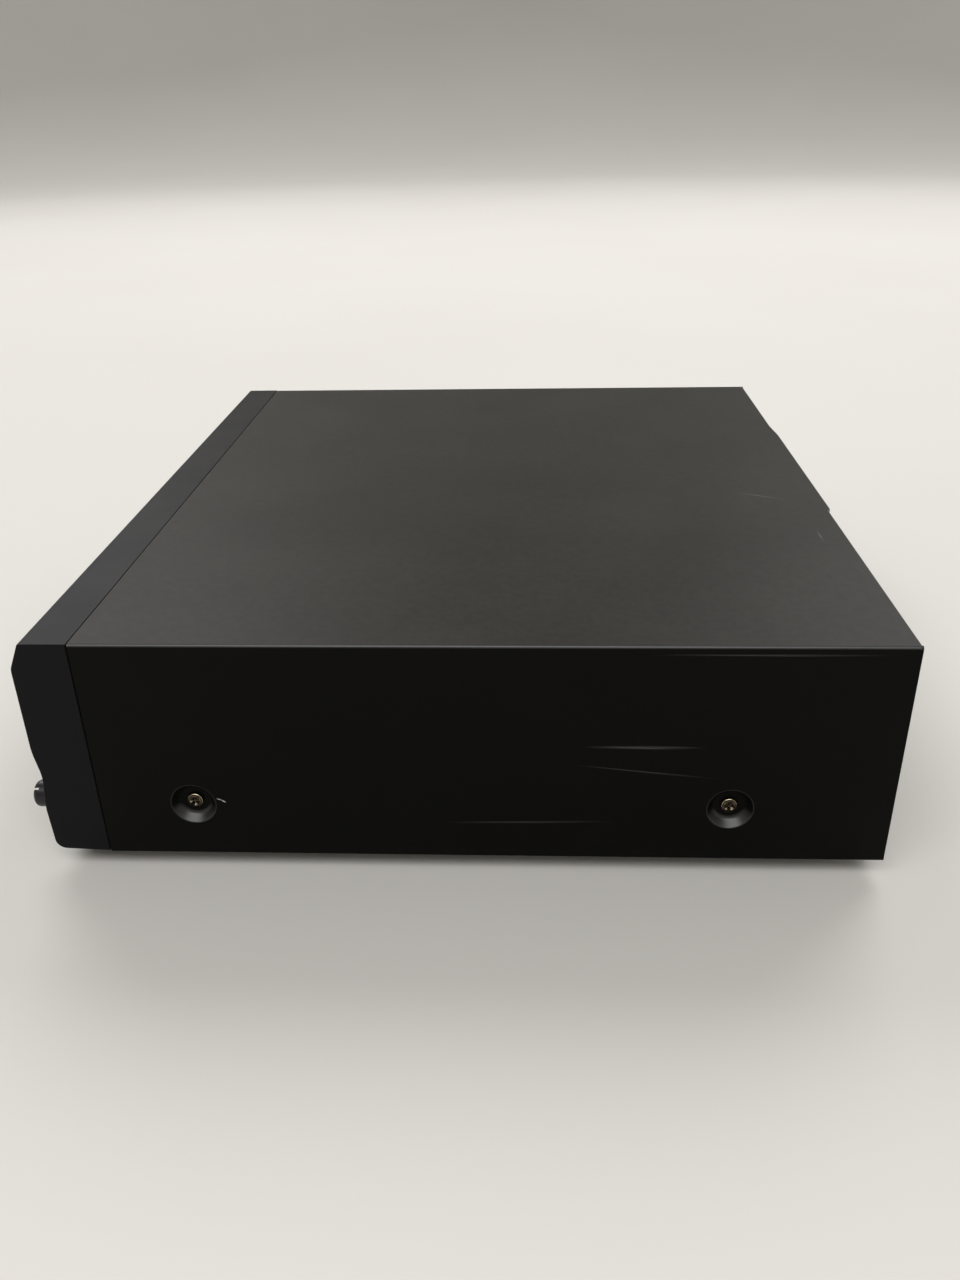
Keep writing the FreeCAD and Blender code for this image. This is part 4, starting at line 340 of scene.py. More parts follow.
def handled_enamel_with_painted_highlights(name, colour, grain):
    """The cover's enamel, which has been handled: scuffs along the walls and hairline scratches on the top.
    Painted highlights raise the specular level on the bends and round the rim of each dish, and a lighter warm
    film on all that faces upwards is partly dust and partly painted light that lightens the top."""
    material = baked_enamel(name, colour, grain)
    shader = material.node_tree.nodes["Principled BSDF"]
    tint, gloss = (shader.inputs[key].links[0].from_socket for key in ("Base Color", "Roughness"))
    add = partial(add_to, material.node_tree)
    place = add("TexCoord", output="Object")
    normal = add("SeparateXYZ", (add("NewGeometry", output="Normal"),)).node.outputs
    side, up = add("Math", (normal["X"],), operation="ABSOLUTE"), normal["Z"]
    patches = add("TexNoise", {"Vector": place, "Scale": 1 / 0.07, "Detail": 3.0})
    specks = add("TexNoise", {"Vector": place, "Scale": 1 / 0.0035, "Detail": 3.0})
    # Dust and painted light: a lighter warm film on every face turned upwards, which makes the whole top
    # lighter than the walls.
    dust = masked(
        add, add("MapRange", (patches, 0.3, 0.7, 0.8, 1)), add("MapRange", (specks, 0.3, 0.7, 0.8, 1)),
        add("MapRange", (up, 0.9, 1, 0, 1)),
    )
    marks = wear_marks(add, place)
    # Painted highlight: faces tilted partly upwards, as on the bends and the lower slopes of the dishes, where
    # the overhead lights would reflect.
    bends = masked(add, add("MapRange", (up, 0.12, 0.5, 0, 1)), add("MapRange", (up, 0.9, 0.97, 1, 0)))
    # Painted highlight: a thin ring round the rim of each dish in the walls, where the normal tilts a little
    # away from X.
    spread = add("VectorMath", (place,), operation="ABSOLUTE")
    rim_highlight = masked(
        add, add("MapRange", (side, 0.78, 0.86, 0, 0.6)), add("MapRange", (side, 0.96, 0.99, 1, 0)),
        add("MapRange", (add("SeparateXYZ", (spread,)), 0.2085, 0.2090, 0, 1)),
    )
    # The painted highlights together: the higher specular level there stands in for the lights' reflections.
    painted_highlight = add("Math", (bends, rim_highlight), operation="MAXIMUM")
    feed(shader, {
        # Base colour: scuffs over the dust and painted light on the top.
        "Base Color": overlaid(add, marks, overlaid(add, dust, tint, linear("393734")), linear("b8b6b0")),
        "Roughness": add("Math", (marks, 0.2, gloss), operation="MULTIPLY_ADD"),
        # Painted highlights: specular level raised from 0.06 to 0.9 on the bends and the dish rims.
        "Specular IOR Level": add("MapRange", (painted_highlight, 0, 1, 0.06, 0.9)),
    })
    return material


def masked(add, *masks):
    """A mask that shows only where all of several masks do: their values multiplied."""
    total = masks[0]
    for mask in masks[1:]:
        total = add("Math", (total, mask), operation="MULTIPLY")
    return total


# Marks on the cover: centre, half lengths along X, Y and Z, turn in degrees and strength.
SCUFFS = (
    ((0.2100, 0.0805, 0.0680), (0.004, 0.027, 0.0010), (0, 0, 0), 0.13),
    ((0.2100, 0.0815, 0.0555), (0.004, 0.034, 0.0005), (-6, 0, 0), 0.08),
    ((0.2100, 0.0300, 0.0280), (0.004, 0.042, 0.0007), (1, 0, 0), 0.07),
    ((0.2100, 0.1300, 0.1130), (0.004, 0.052, 0.0006), (0, 0, 0), 0.09),
    ((0.2100, -0.1077, 0.0388), (0.004, 0.0014, 0.0003), (-20, 0, 0), 2.2),
    ((0.2100, -0.1058, 0.0378), (0.004, 0.0014, 0.0004), (-34, 0, 0), 2.2),
    ((-0.2100, -0.0200, 0.0600), (0.004, 0.050, 0.0010), (2, 0, 0), 0.10),
    ((0.0315, 0.1590, 0.1170), (0.0007, 0.0160, 0.004), (0, 0, -25), 0.22),
    ((0.0900, 0.1770, 0.1170), (0.0085, 0.0008, 0.004), (0, 0, 0), 0.18),
    ((-0.0600, -0.0400, 0.1170), (0.0006, 0.0300, 0.004), (0, 0, 40), 0.06),
)


def wear_marks(add, place):
    """Where scuffs and scratches show, from 0 upwards: inside each listed ellipsoid, streaks of stretched
    noise that fade towards its surface."""
    total = None
    for centre, reach, turn, strength in SCUFFS:
        local = add("Mapping", {
            "Vector": place, "Location": centre, "Scale": reach, "Rotation": [math.radians(a) for a in turn],
        }, vector_type="TEXTURE")
        away = add("VectorMath", (local,), "Value", operation="LENGTH")
        streaks = add("TexNoise", {"Vector": local, "Scale": 1.5})
        fade = add("MapRange", (away, 0.2, 1.0, strength, 0.0))
        faded = masked(add, fade, add("MapRange", (streaks, 0.35, 0.6, 0.3, 1.0)))
        total = faded if total is None else add("Math", (total, faded), operation="MAXIMUM")
    return total


def moulded(name, colour, roughness, grain, depth=0.00002, subsurface=0.0, sheen=0.3):
    """Injection-moulded plastic from a spark-eroded tool: an even fine grain, and a slight change of tone and
    gloss from flow."""
    material, add, shader, place = blank(name)
    flow = add("TexNoise", {"Vector": place, "Scale": 1 / 0.05})
    spark = add("TexNoise", {"Vector": place, "Scale": 1 / grain, "Detail": 3.0})
    feed(shader, {
        "Base Color": toned(add, flow, colour, 0.08, 0.08),
        "Roughness": add("MapRange", (flow, 0.3, 0.7, roughness - 0.04, roughness + 0.04)),
        "Specular IOR Level": sheen,
        "Subsurface Weight": subsurface,
        "Subsurface Scale": 0.002,
        "Normal": add("Bump", {"Height": spark, "Distance": depth, "Strength": 0.5}),
    })
    return material


def polished(name, colour, roughness, transmission=0.0):
    """Cast acrylic or glass polished after moulding: clear gloss with only faint waves and wiping marks."""
    material, add, shader, place = blank(name)
    along = add("Mapping", {"Vector": place, "Scale": (300, 20, 60)})
    wipes = add("TexNoise", {"Vector": along, "Scale": 1.0})
    waves = add("TexNoise", {"Vector": place, "Scale": 1 / 0.02})
    feed(shader, {
        "Base Color": colour,
        "Roughness": add("MapRange", (wipes, 0.4, 0.8, roughness, roughness + 0.06)),
        "IOR": 1.49,
        "Transmission Weight": transmission,
        "Normal": add("Bump", {"Height": waves, "Distance": 0.00001, "Strength": 0.2}),
    })
    return material


def zinc_coated(name, colour, spangle):
    """Hot-dip or plated zinc on sheet steel: flat crystals that each catch the light in their own way."""
    material, add, shader, place = blank(name)
    crystals = add("TexVoronoi", {"Vector": place, "Scale": 1 / spangle, "Randomness": 1.0}, "Color")
    tone = add("SeparateColor", (crystals,))
    skin = add("TexNoise", {"Vector": place, "Scale": 1 / 0.0015})
    feed(shader, {
        "Base Color": toned(add, tone, colour, 0.12, 0.1),
        "Metallic": 1.0,
        "Roughness": add("MapRange", (tone, 0, 1, 0.34, 0.52)),
        "Normal": add("Bump", {"Height": skin, "Distance": 0.00001, "Strength": 0.4}),
    })
    return material


def machined(name, colour, roughness, line, along="z"):
    """Turned, ground or extruded metal: fine parallel tool lines across one axis, brighter on their
    crests."""
    material, add, shader, place = blank(name)
    scale = [1 / 0.03] * 3
    scale["xyz".index(along)] = 1 / line
    drawn = add("Mapping", {"Vector": place, "Scale": scale})
    lines = add("TexNoise", {"Vector": drawn, "Scale": 1.0, "Detail": 3.0})
    feed(shader, {
        "Base Color": toned(add, lines, colour, 0.15, 0.1),
        "Metallic": 1.0,
        "Roughness": add("MapRange", (lines, 0.3, 0.7, roughness - 0.06, roughness + 0.08)),
        "Normal": add("Bump", {"Height": lines, "Distance": 0.00001, "Strength": 0.5}),
    })
    return material


def worn_metal(name, finish_colour, bare):
    """Dark finished steel whose rounded edges, where the face turns away from X, are rubbed down to bright
    metal."""
    material, add, shader, place = blank(name)
    normal = add("SeparateXYZ", (add("NewGeometry", output="Normal"),))
    tilt = add("Math", (normal,), operation="ABSOLUTE")
    edge = masked(add, add("MapRange", (tilt, 0.84, 0.92, 1, 0)), add("MapRange", (tilt, 0.3, 0.5, 0, 1)))
    specks = add("TexNoise", {"Vector": place, "Scale": 1 / 0.0005, "Detail": 3.0})
    feed(shader, {
        "Base Color": overlaid(add, edge, toned(add, specks, finish_colour, 0.2, 0.2), bare),
        "Metallic": 1.0,
        "Roughness": add("MapRange", (specks, 0.3, 0.7, 0.18, 0.26)),
        "Normal": add("Bump", {"Height": specks, "Distance": 0.00001, "Strength": 0.15}),
    })
    return material


def cast_metal(name, colour, grain):
    """Die-cast alloy: a matt grey skin with flow marks and small pits."""
    material, add, shader, place = blank(name)
    flow = add("TexNoise", {"Vector": place, "Scale": 1 / 0.012, "Detail": 4.0})
    pits = add("TexNoise", {"Vector": place, "Scale": 1 / grain, "Detail": 3.0})
    feed(shader, {
        "Base Color": toned(add, flow, colour, 0.2, 0.15),
        "Metallic": 1.0,
        "Roughness": add("MapRange", (flow, 0.3, 0.7, 0.42, 0.6)),
        "Normal": add("Bump", {"Height": pits, "Distance": 0.00004, "Strength": 0.6}),
    })
    return material


def vulcanised(name, colour):
    """Black vulcanised rubber: matt, with a bloom of dust and a fine pitted skin."""
    material, add, shader, place = blank(name)
    bloom = add("TexNoise", {"Vector": place, "Scale": 1 / 0.006, "Detail": 3.0})
    pits = add("TexNoise", {"Vector": place, "Scale": 1 / 0.0005})
    feed(shader, {
        "Base Color": toned(add, add("MapRange", (bloom, 0.4, 0.75, 0, 1)), colour, 0, 0.9),
        "Roughness": add("MapRange", (bloom, 0.3, 0.7, 0.72, 0.88)),
        "Normal": add("Bump", {"Height": pits, "Distance": 0.00003, "Strength": 0.7}),
    })
    return material


BLACK, WHITE = (0, 0, 0, 1), (1, 1, 1, 1)


def solder_mask(name, colour, track_pitch):
    """Glass-epoxy board under green solder mask: copper tracks raise and lighten the mask, and tinned pads
    show as small bright dots."""
    material, add, shader, place = blank(name)
    tracks = add("TexBrick", {
        "Vector": place, "Color1": BLACK, "Color2": BLACK, "Mortar": WHITE, "Scale": 1 / track_pitch,
        "Mortar Size": 0.09, "Brick Width": 3.0, "Row Height": 0.7,
    }, "Fac", offset=0.37, squash=0.6)
    dots = add("TexVoronoi", {"Vector": place, "Scale": 1 / (track_pitch * 1.1), "Randomness": 0.35})
    pads = add("MapRange", (dots, 0.16, 0.2, 1, 0))
    raised = add("Math", (tracks, pads), operation="ADD")
    feed(shader, {
        "Base Color": overlaid(add, pads, toned(add, tracks, colour, 0, 0.6), linear("c9c6bb")),
        "Metallic": pads,
        "Roughness": add("MapRange", (pads, 0, 1, 0.35, 0.25)),
        "Normal": add("Bump", {"Height": raised, "Distance": 0.00004, "Strength": 0.6}),
    })
    return material


def pressed_paper(name, colour):
    """Phenolic paper board: brown resin with the short fibres of the paper showing."""
    material, add, shader, place = blank(name)
    along = add("Mapping", {"Vector": place, "Scale": (400, 2500, 400), "Rotation": (0, 0, 0.6)})
    fibres = add("TexNoise", {"Vector": along, "Scale": 1.0, "Detail": 3.0})
    feed(shader, {
        "Base Color": toned(add, fibres, colour, 0.25, 0.2),
        "Roughness": add("MapRange", (fibres, 0.3, 0.7, 0.45, 0.6)),
        "Normal": add("Bump", {"Height": fibres, "Distance": 0.00002, "Strength": 0.4}),
    })
    return material


def banded(name, colour, stripe, pitch, axis, share, roughness=0.5, metallic=0.0):
    """Stripes across one axis, such as the wires in a flat cable or the sheets in a stack: a saw of the
    coordinate, one tooth per pitch, that shows the stripe colour over a share of each tooth."""
    material, add, shader, place = blank(name)
    coordinate = add("SeparateXYZ", (place,), axis.upper())
    teeth = add("Math", (coordinate, 1 / pitch), operation="MULTIPLY")
    saw = add("Math", (teeth,), operation="FRACT")
    line = add("MapRange", (saw, share - 0.08, share + 0.08, 1, 0))
    cloud = add("TexNoise", {"Vector": place, "Scale": 1 / 0.01})
    feed(shader, {
        "Base Color": overlaid(add, line, toned(add, cloud, colour, 0.08, 0.08), stripe),
        "Metallic": metallic,
        "Roughness": add("MapRange", (cloud, 0.3, 0.7, roughness - 0.05, roughness + 0.05)),
        "Normal": add("Bump", {"Height": line, "Distance": 0.00003, "Strength": 0.6}),
    })
    return material


def sleeved_can(name, sleeve, metal):
    """A glossy shrink sleeve round an aluminium can whose brushed top stays bare."""
    material, add, shader, place = blank(name)
    up = add("SeparateXYZ", (add("NewGeometry", output="True Normal"),), "Z")
    top = add("MapRange", (up, 0.9, 0.95, 0, 1))
    cloud = add("TexNoise", {"Vector": place, "Scale": 1 / 0.002})
    feed(shader, {
        "Base Color": overlaid(add, top, toned(add, cloud, sleeve, 0.1, 0.1), metal),
        "Metallic": top,
        "Roughness": add("MapRange", (cloud, 0.3, 0.7, 0.26, 0.34)),
    })
    return material


def printed_ink(name, colour):
    """Pad-printed ink: a thin opaque matt film with a faintly uneven tone."""
    material, add, shader, place = blank(name)
    speck = add("TexNoise", {"Vector": place, "Scale": 1 / 0.0004})
    feed(shader, {
        "Base Color": toned(add, speck, colour, 0.1, 0),
        "Roughness": add("MapRange", (speck, 0.3, 0.7, 0.45, 0.6)),
    })
    return material


def display_glass(name):
    """Evacuated display tube: dark glass over a silver-grey grid of anode segments, unlit."""
    material, add, shader, place = blank(name)
    facing = add("Mapping", {"Vector": place, "Rotation": (math.pi / 2, 0, 0)})
    segments = add("TexBrick", {
        "Vector": facing, "Color1": BLACK, "Color2": BLACK, "Mortar": WHITE, "Scale": 1 / 0.008,
        "Mortar Size": 0.03, "Brick Width": 0.9, "Row Height": 0.62,
    }, "Fac", offset=0.0)
    wires = add("Mapping", {"Vector": place, "Scale": (2500, 1, 600)})
    mesh_lines = add("TexNoise", {"Vector": wires, "Scale": 1.0})
    ground = overlaid(add, mesh_lines, linear("1d2322"), linear("2c3432"))
    feed(shader, {
        "Base Color": overlaid(add, segments, ground, linear("6f7a76")),
        "Roughness": add("MapRange", (mesh_lines, 0.3, 0.7, 0.12, 0.2)),
        "Coat Weight": 0.6,
    })
    return material


def coated_lens(name, colour):
    """Moulded aspheric lens with a blue-violet anti-reflection coating, stronger towards its rim."""
    material, add, shader, place = blank(name)
    rim = add("LayerWeight", {"Blend": 0.35}, "Facing")
    smear = add("TexNoise", {"Vector": place, "Scale": 1 / 0.002})
    feed(shader, {
        "Base Color": overlaid(add, rim, colour, linear("6a4fa0")),
        "Roughness": add("MapRange", (smear, 0.3, 0.7, 0.02, 0.06)),
        "Transmission Weight": 0.5,
    })
    return material


def make_materials():
    """Every finish by the name of its slot in the record, and the few that only fine pieces use."""
    look = bpy.context.scene.player_finish
    return {
        "cover_paint": handled_enamel_with_painted_highlights("baked_enamel_cover", tuple(look.cover_paint) + (1.0,), 0.0006),
        "rear_paint": baked_enamel("baked_enamel_rear", linear("262527"), 0.0007),
        "galvanised_steel": zinc_coated("galvanised_sheet_steel", linear("b4b7b5"), 0.007),
        "panel_plastic": moulded("moulded_abs_panel", tuple(look.panel_plastic) + (1.0,), 0.42, 0.0005,
                                 sheen=0.1),
        "door_plastic": moulded("moulded_abs_door", shift(tuple(look.panel_plastic), 0.04), 0.40, 0.0005),
        "smoked_acrylic": polished("smoked_acrylic", linear("44444b"), 0.03, 0.8),
        "display_glass": display_glass("display_tube_glass"),
        "foot_plastic": moulded("moulded_foot_plastic", linear("222122"), 0.55, 0.0006),
        "foot_rubber": vulcanised("pad_rubber", linear("1d1c1c")),
        "nickel_screws": worn_metal("bronzed_steel", linear("2e2823"), linear("c2b295")),
        "black_screws": machined("blackened_steel", linear("2a2a2c"), 0.34, 0.0004, "y"),
        "zinc_screws": machined("zinc_plated_screws", linear("b9b7a9"), 0.32, 0.0004, "z"),
        "knob_plastic": moulded("moulded_knob_plastic", linear("242225"), 0.34, 0.0004),
        "button_plastic": moulded("moulded_button_plastic", linear("2a292c"), 0.26, 0.0005, 0.000008),
        "board_laminate": solder_mask("solder_masked_laminate", linear("1d5a33"), 0.0036),
        "paper_laminate": pressed_paper("phenolic_paper_board", linear("a5793f")),
        "chip_resin": moulded("moulded_epoxy_resin", linear("252527"), 0.62, 0.0004, 0.00003),
        "can_sleeve": sleeved_can("shrink_sleeve", linear("1c2750"), linear("c9cacc")),
        "core_lacquer": banded("varnished_laminations", linear("4c443b"), linear("26221d"), 0.0008, "y", 0.3,
                               0.42, 0.6),
        "extruded_aluminium": machined("extruded_aluminium", linear("c3c4c6"), 0.34, 0.0003, "x"),
        "inlet_plastic": moulded("moulded_inlet_plastic", linear("1f1f20"), 0.48, 0.0005),
        "gilded_metal": machined("gold_flashed_brass", linear("cfae62"), 0.2, 0.0003, "y"),
        "socket_metal": machined("nickel_plated_socket", linear("bdbdbb"), 0.25, 0.0003, "y"),
        "flat_cable": banded("flat_cable_polyester", linear("d8d5c8"), linear("a9a79e"), 0.00125, "x", 0.45,
                             0.4),
        "deck_plastic": moulded("glass_filled_polyester", linear("3a3a3c"), 0.6, 0.0009, 0.00004),
        "white_acetal": moulded("moulded_acetal", linear("e4e1d6"), 0.38, 0.0015, 0.000008, 0.12),
        "tray_plastic": moulded("moulded_abs_tray", linear("434346"), 0.46, 0.0006),
        "rack_plastic": moulded("moulded_rack_acetal", linear("d9d6cb"), 0.4, 0.0015, 0.000008, 0.1),
        "motor_steel": zinc_coated("drawn_motor_can", linear("b7b6b2"), 0.02),
        "turned_brass": machined("turned_brass", linear("cda85c"), 0.24, 0.0003),
        "belt_rubber": vulcanised("belt_rubber", linear("1e1d1d")),
        "ground_steel": machined("ground_steel_rod", linear("cfd0d2"), 0.16, 0.0005, "y"),
        "arm_plastic": moulded("moulded_arm_plastic", linear("4b4b4b"), 0.5, 0.0007),
        "clamper_plastic": moulded("moulded_clamper_plastic", linear("303030"), 0.44, 0.0006),
        "cast_aluminium": machined("machined_aluminium_casting", linear("c4c5c7"), 0.3, 0.0004),
        "mat_rubber": vulcanised("mat_rubber", linear("2b2a2a")),
        "die_cast": cast_metal("die_cast_zinc", linear("8e8f92"), 0.0009),
        "lens_glass": coated_lens("coated_lens", linear("8fa4d8")),
        "ink": printed_ink("white_pad_ink", linear("e9e7e0")),
        "yellow_insert": moulded("yellow_insert_plastic", linear("d9ac1d"), 0.35, 0.001, 0.00001),
        "white_insert": moulded("white_insert_plastic", linear("e2dfd6"), 0.35, 0.001, 0.00001),
        "red_insert": moulded("red_insert_plastic", linear("a3211f"), 0.35, 0.001, 0.00001),
        "winding_tape": moulded("polyester_winding_tape", linear("c9a43c"), 0.3, 0.004, 0.00002),
        "tinned_leads": machined("tinned_leads", linear("c2c2bf"), 0.3, 0.0005),
    }


# Pieces

def inset(loop, amount):
    """A counter-clockwise loop moved inwards by an amount."""
    along = np.roll(loop, -1, axis=0) - np.roll(loop, 1, axis=0)
    along /= np.linalg.norm(along, axis=1, keepdims=True)
    return loop - amount * np.column_stack([along[:, 1], -along[:, 0]])


def capped(points):
    """Rings joined to each other, with the first and the last one filled."""
    flat, quads = grid(points, wrap=True)
    rows, columns = points.shape[:2]
    ends = [list(range(columns))[::-1], list(range((rows - 1) * columns, rows * columns))]
    return flat, quads.tolist() + ends


def block(outline, low, high, far=0.0, near=0.0):
    """A flat outline carried from one height to another, its far and near edges turned over quarter
    circles."""
    turn = np.linspace(0, math.pi / 2, 5)
    first, last = [(0, low)], [(0, high)]
    if near:
        first = [(near * (1 - math.sin(t)), low + near * (1 - math.cos(t))) for t in turn]
    if far:
        last = [(far * (1 - math.cos(t)), high - far * (1 - math.sin(t))) for t in turn]
    return capped(np.array([ring_at(inset(outline, amount), height) for amount, height in first + last]))


def ring_at(loop, height):
    """A flat loop (u, v) lifted to a height."""
    return np.column_stack([loop, np.full(len(loop), height)])


def slab(outline, low, high):
    """A flat shape of any outline between two heights."""
    walls = np.array([ring_at(outline, height) for height in (low, high)])
    top_points, top_faces = flat_face(outline, (), high)
    bottom_points, bottom_faces = flat_face(outline, (), low)
    wall_points, wall_faces = grid(walls, wrap=True)
    points = np.concatenate([wall_points, top_points, bottom_points])
    faces = [wall_faces, top_faces + len(wall_points), bottom_faces + len(wall_points) + len(top_points)]
    return points, [face for group in faces for face in group.tolist()]


def rectangle(half_u, half_v, corner, at=(0.0, 0.0), step=18):
    corners = [(-half_u, -half_v, corner), (half_u, -half_v, corner), (half_u, half_v, corner),
               (-half_u, half_v, corner)]
    return rounded(corners, step=step) + np.array(at)


def profiled(corners, step=15):
    """A lathe profile from corners (radius, height, rounding), in millimetres."""
    return rounded([(r * MM, h * MM, turn * MM) for r, h, turn in corners], closed=False, step=step)


def crossed(loop, levels):
    """A loop of points (u, v) with a point added wherever one of its edges crosses a level of v."""
    ends = np.roll(loop, -1, axis=0)
    rise = ends[:, 1] - loop[:, 1]
    with np.errstate(divide="ignore", invalid="ignore"):
        share = (np.asarray(levels)[None] - loop[:, 1:]) / rise[:, None]
    edge, level = np.nonzero((share > 1e-4) & (share < 1 - 1e-4))
    extra = loop[edge] + share[edge, level][:, None] * (ends - loop)[edge]
    order = np.concatenate([np.arange(len(loop)), edge + share[edge, level]])
    return np.concatenate([loop, extra])[np.argsort(order)]


def screw_head(radius, depth, turn, cross):
    """A pan head: a rounded rim, a slightly domed top and a cross recess that narrows downwards. The top is
    the flat outline less the cross, raised by dome * (1 - (r / radius)^2)."""
    dome = 0.36 * depth
    shoulder, flat = (depth - dome) / MM, (radius - turn) / MM * 0.98
    rim = profiled([(0, 0, 0), (radius / MM, 0, 0), (radius / MM, shoulder, turn / MM), (flat, shoulder, 0)])
    top_radius = rim[-1, 0]
    half, arm = cross * 0.14, cross / 2
    shoulder_arm = arm * 0.92
    quarter = np.array([
        (half, half), (half, shoulder_arm), (half * 0.6, arm), (-half * 0.6, arm), (-half, shoulder_arm),
    ])
    quarter_turn = np.array([(0, 1), (-1, 0)])
    outline = np.concatenate([quarter @ np.linalg.matrix_power(quarter_turn, n) for n in range(4)])
    outer = circle(top_radius, 48)

    def domed(points):
        reach = np.hypot(points[:, 0], points[:, 1]) / top_radius
        lifted = points.copy()
        lifted[:, 2] = depth - dome + dome * np.clip(1 - reach ** 2, 0, 1)
        return lifted

    beside_cross = max(1.06 * arm / top_radius, 0.66)
    rings = [outer * share for share in (beside_cross, 0.93)]
    top_points, top_faces = flat_face(outer, (outline,), 0.0, rings)
    floor = depth - min(1.3 * MM, depth * 0.6)
    sunk, pit = ring_at(outline * 0.62, floor), ring_at(outline * 0.2, floor - 0.2 * MM)
    recess, recess_faces = capped(np.array([domed(ring_at(outline, 0)), sunk, pit]))
    open_above = recess_faces[:-2] + recess_faces[-1:]
    return [lathed(rim), (domed(top_points), top_faces), (recess, open_above)]


def shank(radius, length, pitch=0.7 * MM):
    """A threaded shank below a head, its end just inside it: the radius rises and falls once per pitch, like
    a thread seen from afar."""
    heights = np.linspace(0.2 * MM, -length + radius, int(length / pitch) * 6)
    wave = radius * (0.93 + 0.07 * np.cos(2 * math.pi * heights / pitch))
    end, tip = [(0.0, heights[0])], [(radius * 0.3, -length), (0.0, -length)]
    return lathed(np.concatenate([end, np.column_stack([wave, heights]), tip]), 24)


def screws(name, node, material, screw, places):
    """Screws whose heads and shanks follow the node's own: one at each place, facing along an axis."""
    radius, depth, turn, cross, shaft, length = screw
    parts = []
    for seat, axis, spin in places:
        for part in screw_head(radius, depth, turn, cross) + [shank(shaft, length)]:
            parts.append(placed(part, seat, axis, spin))
    finish(piece(name, parts), material, node)


def circular(radius, at, count=48):
    return circle(radius, count) + np.array(at)


# How far in front of the cover's rear edge the strip with the tab in it starts.
LIP_RUN = 6 * MM


def cover_extent(sizes):
    """The cover's half width, top, bottom, front and rear, the rear without the proud tab."""
    low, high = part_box("top_cover")
    return high.x, high.z, low.z, low.y, high.y - sizes.tab_proud


def side_screw_places(sizes):
    """The y and z of each dish in a wall of the cover."""
    _, _, bottom, front, rear = cover_extent(sizes)
    joint = front - sizes.seam
    return [(y, bottom + sizes.dish_level) for y in (joint + sizes.dish_front, rear - sizes.dish_rear)]


def cover_wall(sizes, side):
    """One wall, flat but for its dishes, which are turned about their screws."""
    half, top, bottom, front, rear = cover_extent(sizes)
    wall_top = top - sizes.cover_bend
    dish = rounded([
        (sizes.dish_radius + sizes.dish_rim, 0, 0), (sizes.dish_radius - 0.1 * MM, 0, sizes.dish_rim),
        (sizes.dish_floor_radius, -sizes.dish_depth, 3 * MM), (sizes.side_shaft_radius, -sizes.dish_depth, 0),
    ], closed=False, step=12)
    centres = side_screw_places(sizes)
    outline = np.array([(front, bottom), (rear, bottom), (rear, wall_top), (front, wall_top)])
    wall, faces = flat_face(outline, [circular(dish[0, 0], centre, 64) for centre in centres])
    parts = [(np.column_stack([np.full(len(wall), side * half), wall[:, :2]]), faces)]
    for y, z in centres:
        ring, faces = lathed(dish, 64)
        parts.append((np.column_stack([side * (half + ring[:, 2]), y + ring[:, 0], z + ring[:, 1]]), faces))
    return parts


def cover_bend(sizes, side):
    """The bend between the top and a wall: a quarter circle carried from front to rear."""
    half, top, _, front, rear = cover_extent(sizes)
    bend = sizes.cover_bend
    turn = np.linspace(0, math.pi / 2, 7)
    x, z = side * (half - bend + bend * np.cos(turn)), top - bend + bend * np.sin(turn)
    rows = np.array([front, rear - LIP_RUN, rear - sizes.lip_bend, rear])
    return grid(np.stack(np.broadcast_arrays(x[None], rows[:, None], z[None]), axis=-1))


def cover_top(sizes):
    """The flat top, and its rear edge turned down over a quarter circle into a lip whose middle stands
    proud."""
    half, top, _, front, rear = cover_extent(sizes)
    edge, bend, start = half - sizes.cover_bend, sizes.lip_bend, rear - LIP_RUN
    knots = np.array([-edge, sizes.tab_start, sizes.tab_full, sizes.tab_end_full, sizes.tab_end, edge])
    columns = np.unique(np.concatenate([knots, np.linspace(-edge, edge, 43)]))
    proud = np.interp(columns, knots, [0, 0, sizes.tab_proud, sizes.tab_proud, 0, 0])
    turn = np.linspace(0, math.pi / 2, 6)
    reach = np.concatenate([[0], np.sin(turn) * bend, [bend]])
    drop = np.concatenate([[0], (1 - np.cos(turn)) * bend, [sizes.lip_height]])
    y = (rear - bend + proud)[None] + reach[:, None]
    y[0] = start
    lip = np.stack(np.broadcast_arrays(columns[None], y, top - drop[:, None]), axis=-1)
    sheet = np.array([[(x, y, top) for x in columns] for y in (front, start)])
    return [grid(lip), grid(sheet)]


def make_cover(sizes, looks):
    """One folded sheet: two walls, two bends and a top with its rear lip. Solidify gives it its gauge."""
    parts = []
    for side in (-1, 1):
        parts += cover_wall(sizes, side) + [cover_bend(sizes, side)]
    cover = piece("cover_sheet", parts + cover_top(sizes), smooth=30)
    outward(cover)
    gauge = cover.modifiers.new("sheet_gauge", "SOLIDIFY")
    gauge.thickness = sizes.cover_gauge
    gauge.offset = -1.0
    cover.modifiers.move(1, 0)
    finish(cover, looks["cover_paint"], "top_cover")


def outward(item):
    """Turns all faces of an open sheet over when most of its area faces the middle of the player."""
    mesh = item.data
    count = len(mesh.polygons)
    centres, normals, areas = np.empty(count * 3), np.empty(count * 3), np.empty(count)
    mesh.polygons.foreach_get("center", centres)
    mesh.polygons.foreach_get("normal", normals)
    mesh.polygons.foreach_get("area", areas)
    middle = np.array([0, 0, 0.05])
    facing = ((centres.reshape(-1, 3) - middle) * normals.reshape(-1, 3)).sum(axis=1)
    if (np.sign(facing) * areas).sum() < 0:
        mesh.flip_normals()


# A screw: radius, height and edge radius of its head, length of its cross, radius and length of its shank.
REAR_SCREW = (3.2 * MM, 1.8 * MM, 0.7 * MM, 3.6 * MM, 1.4 * MM, 6 * MM)
FOOT_SCREW = (4 * MM, 1.9 * MM, 0.7 * MM, 4.2 * MM, 1.9 * MM, 9 * MM)
# Where a foot screw's head is seated, above the ground.
FOOT_RECESS = 4 * MM


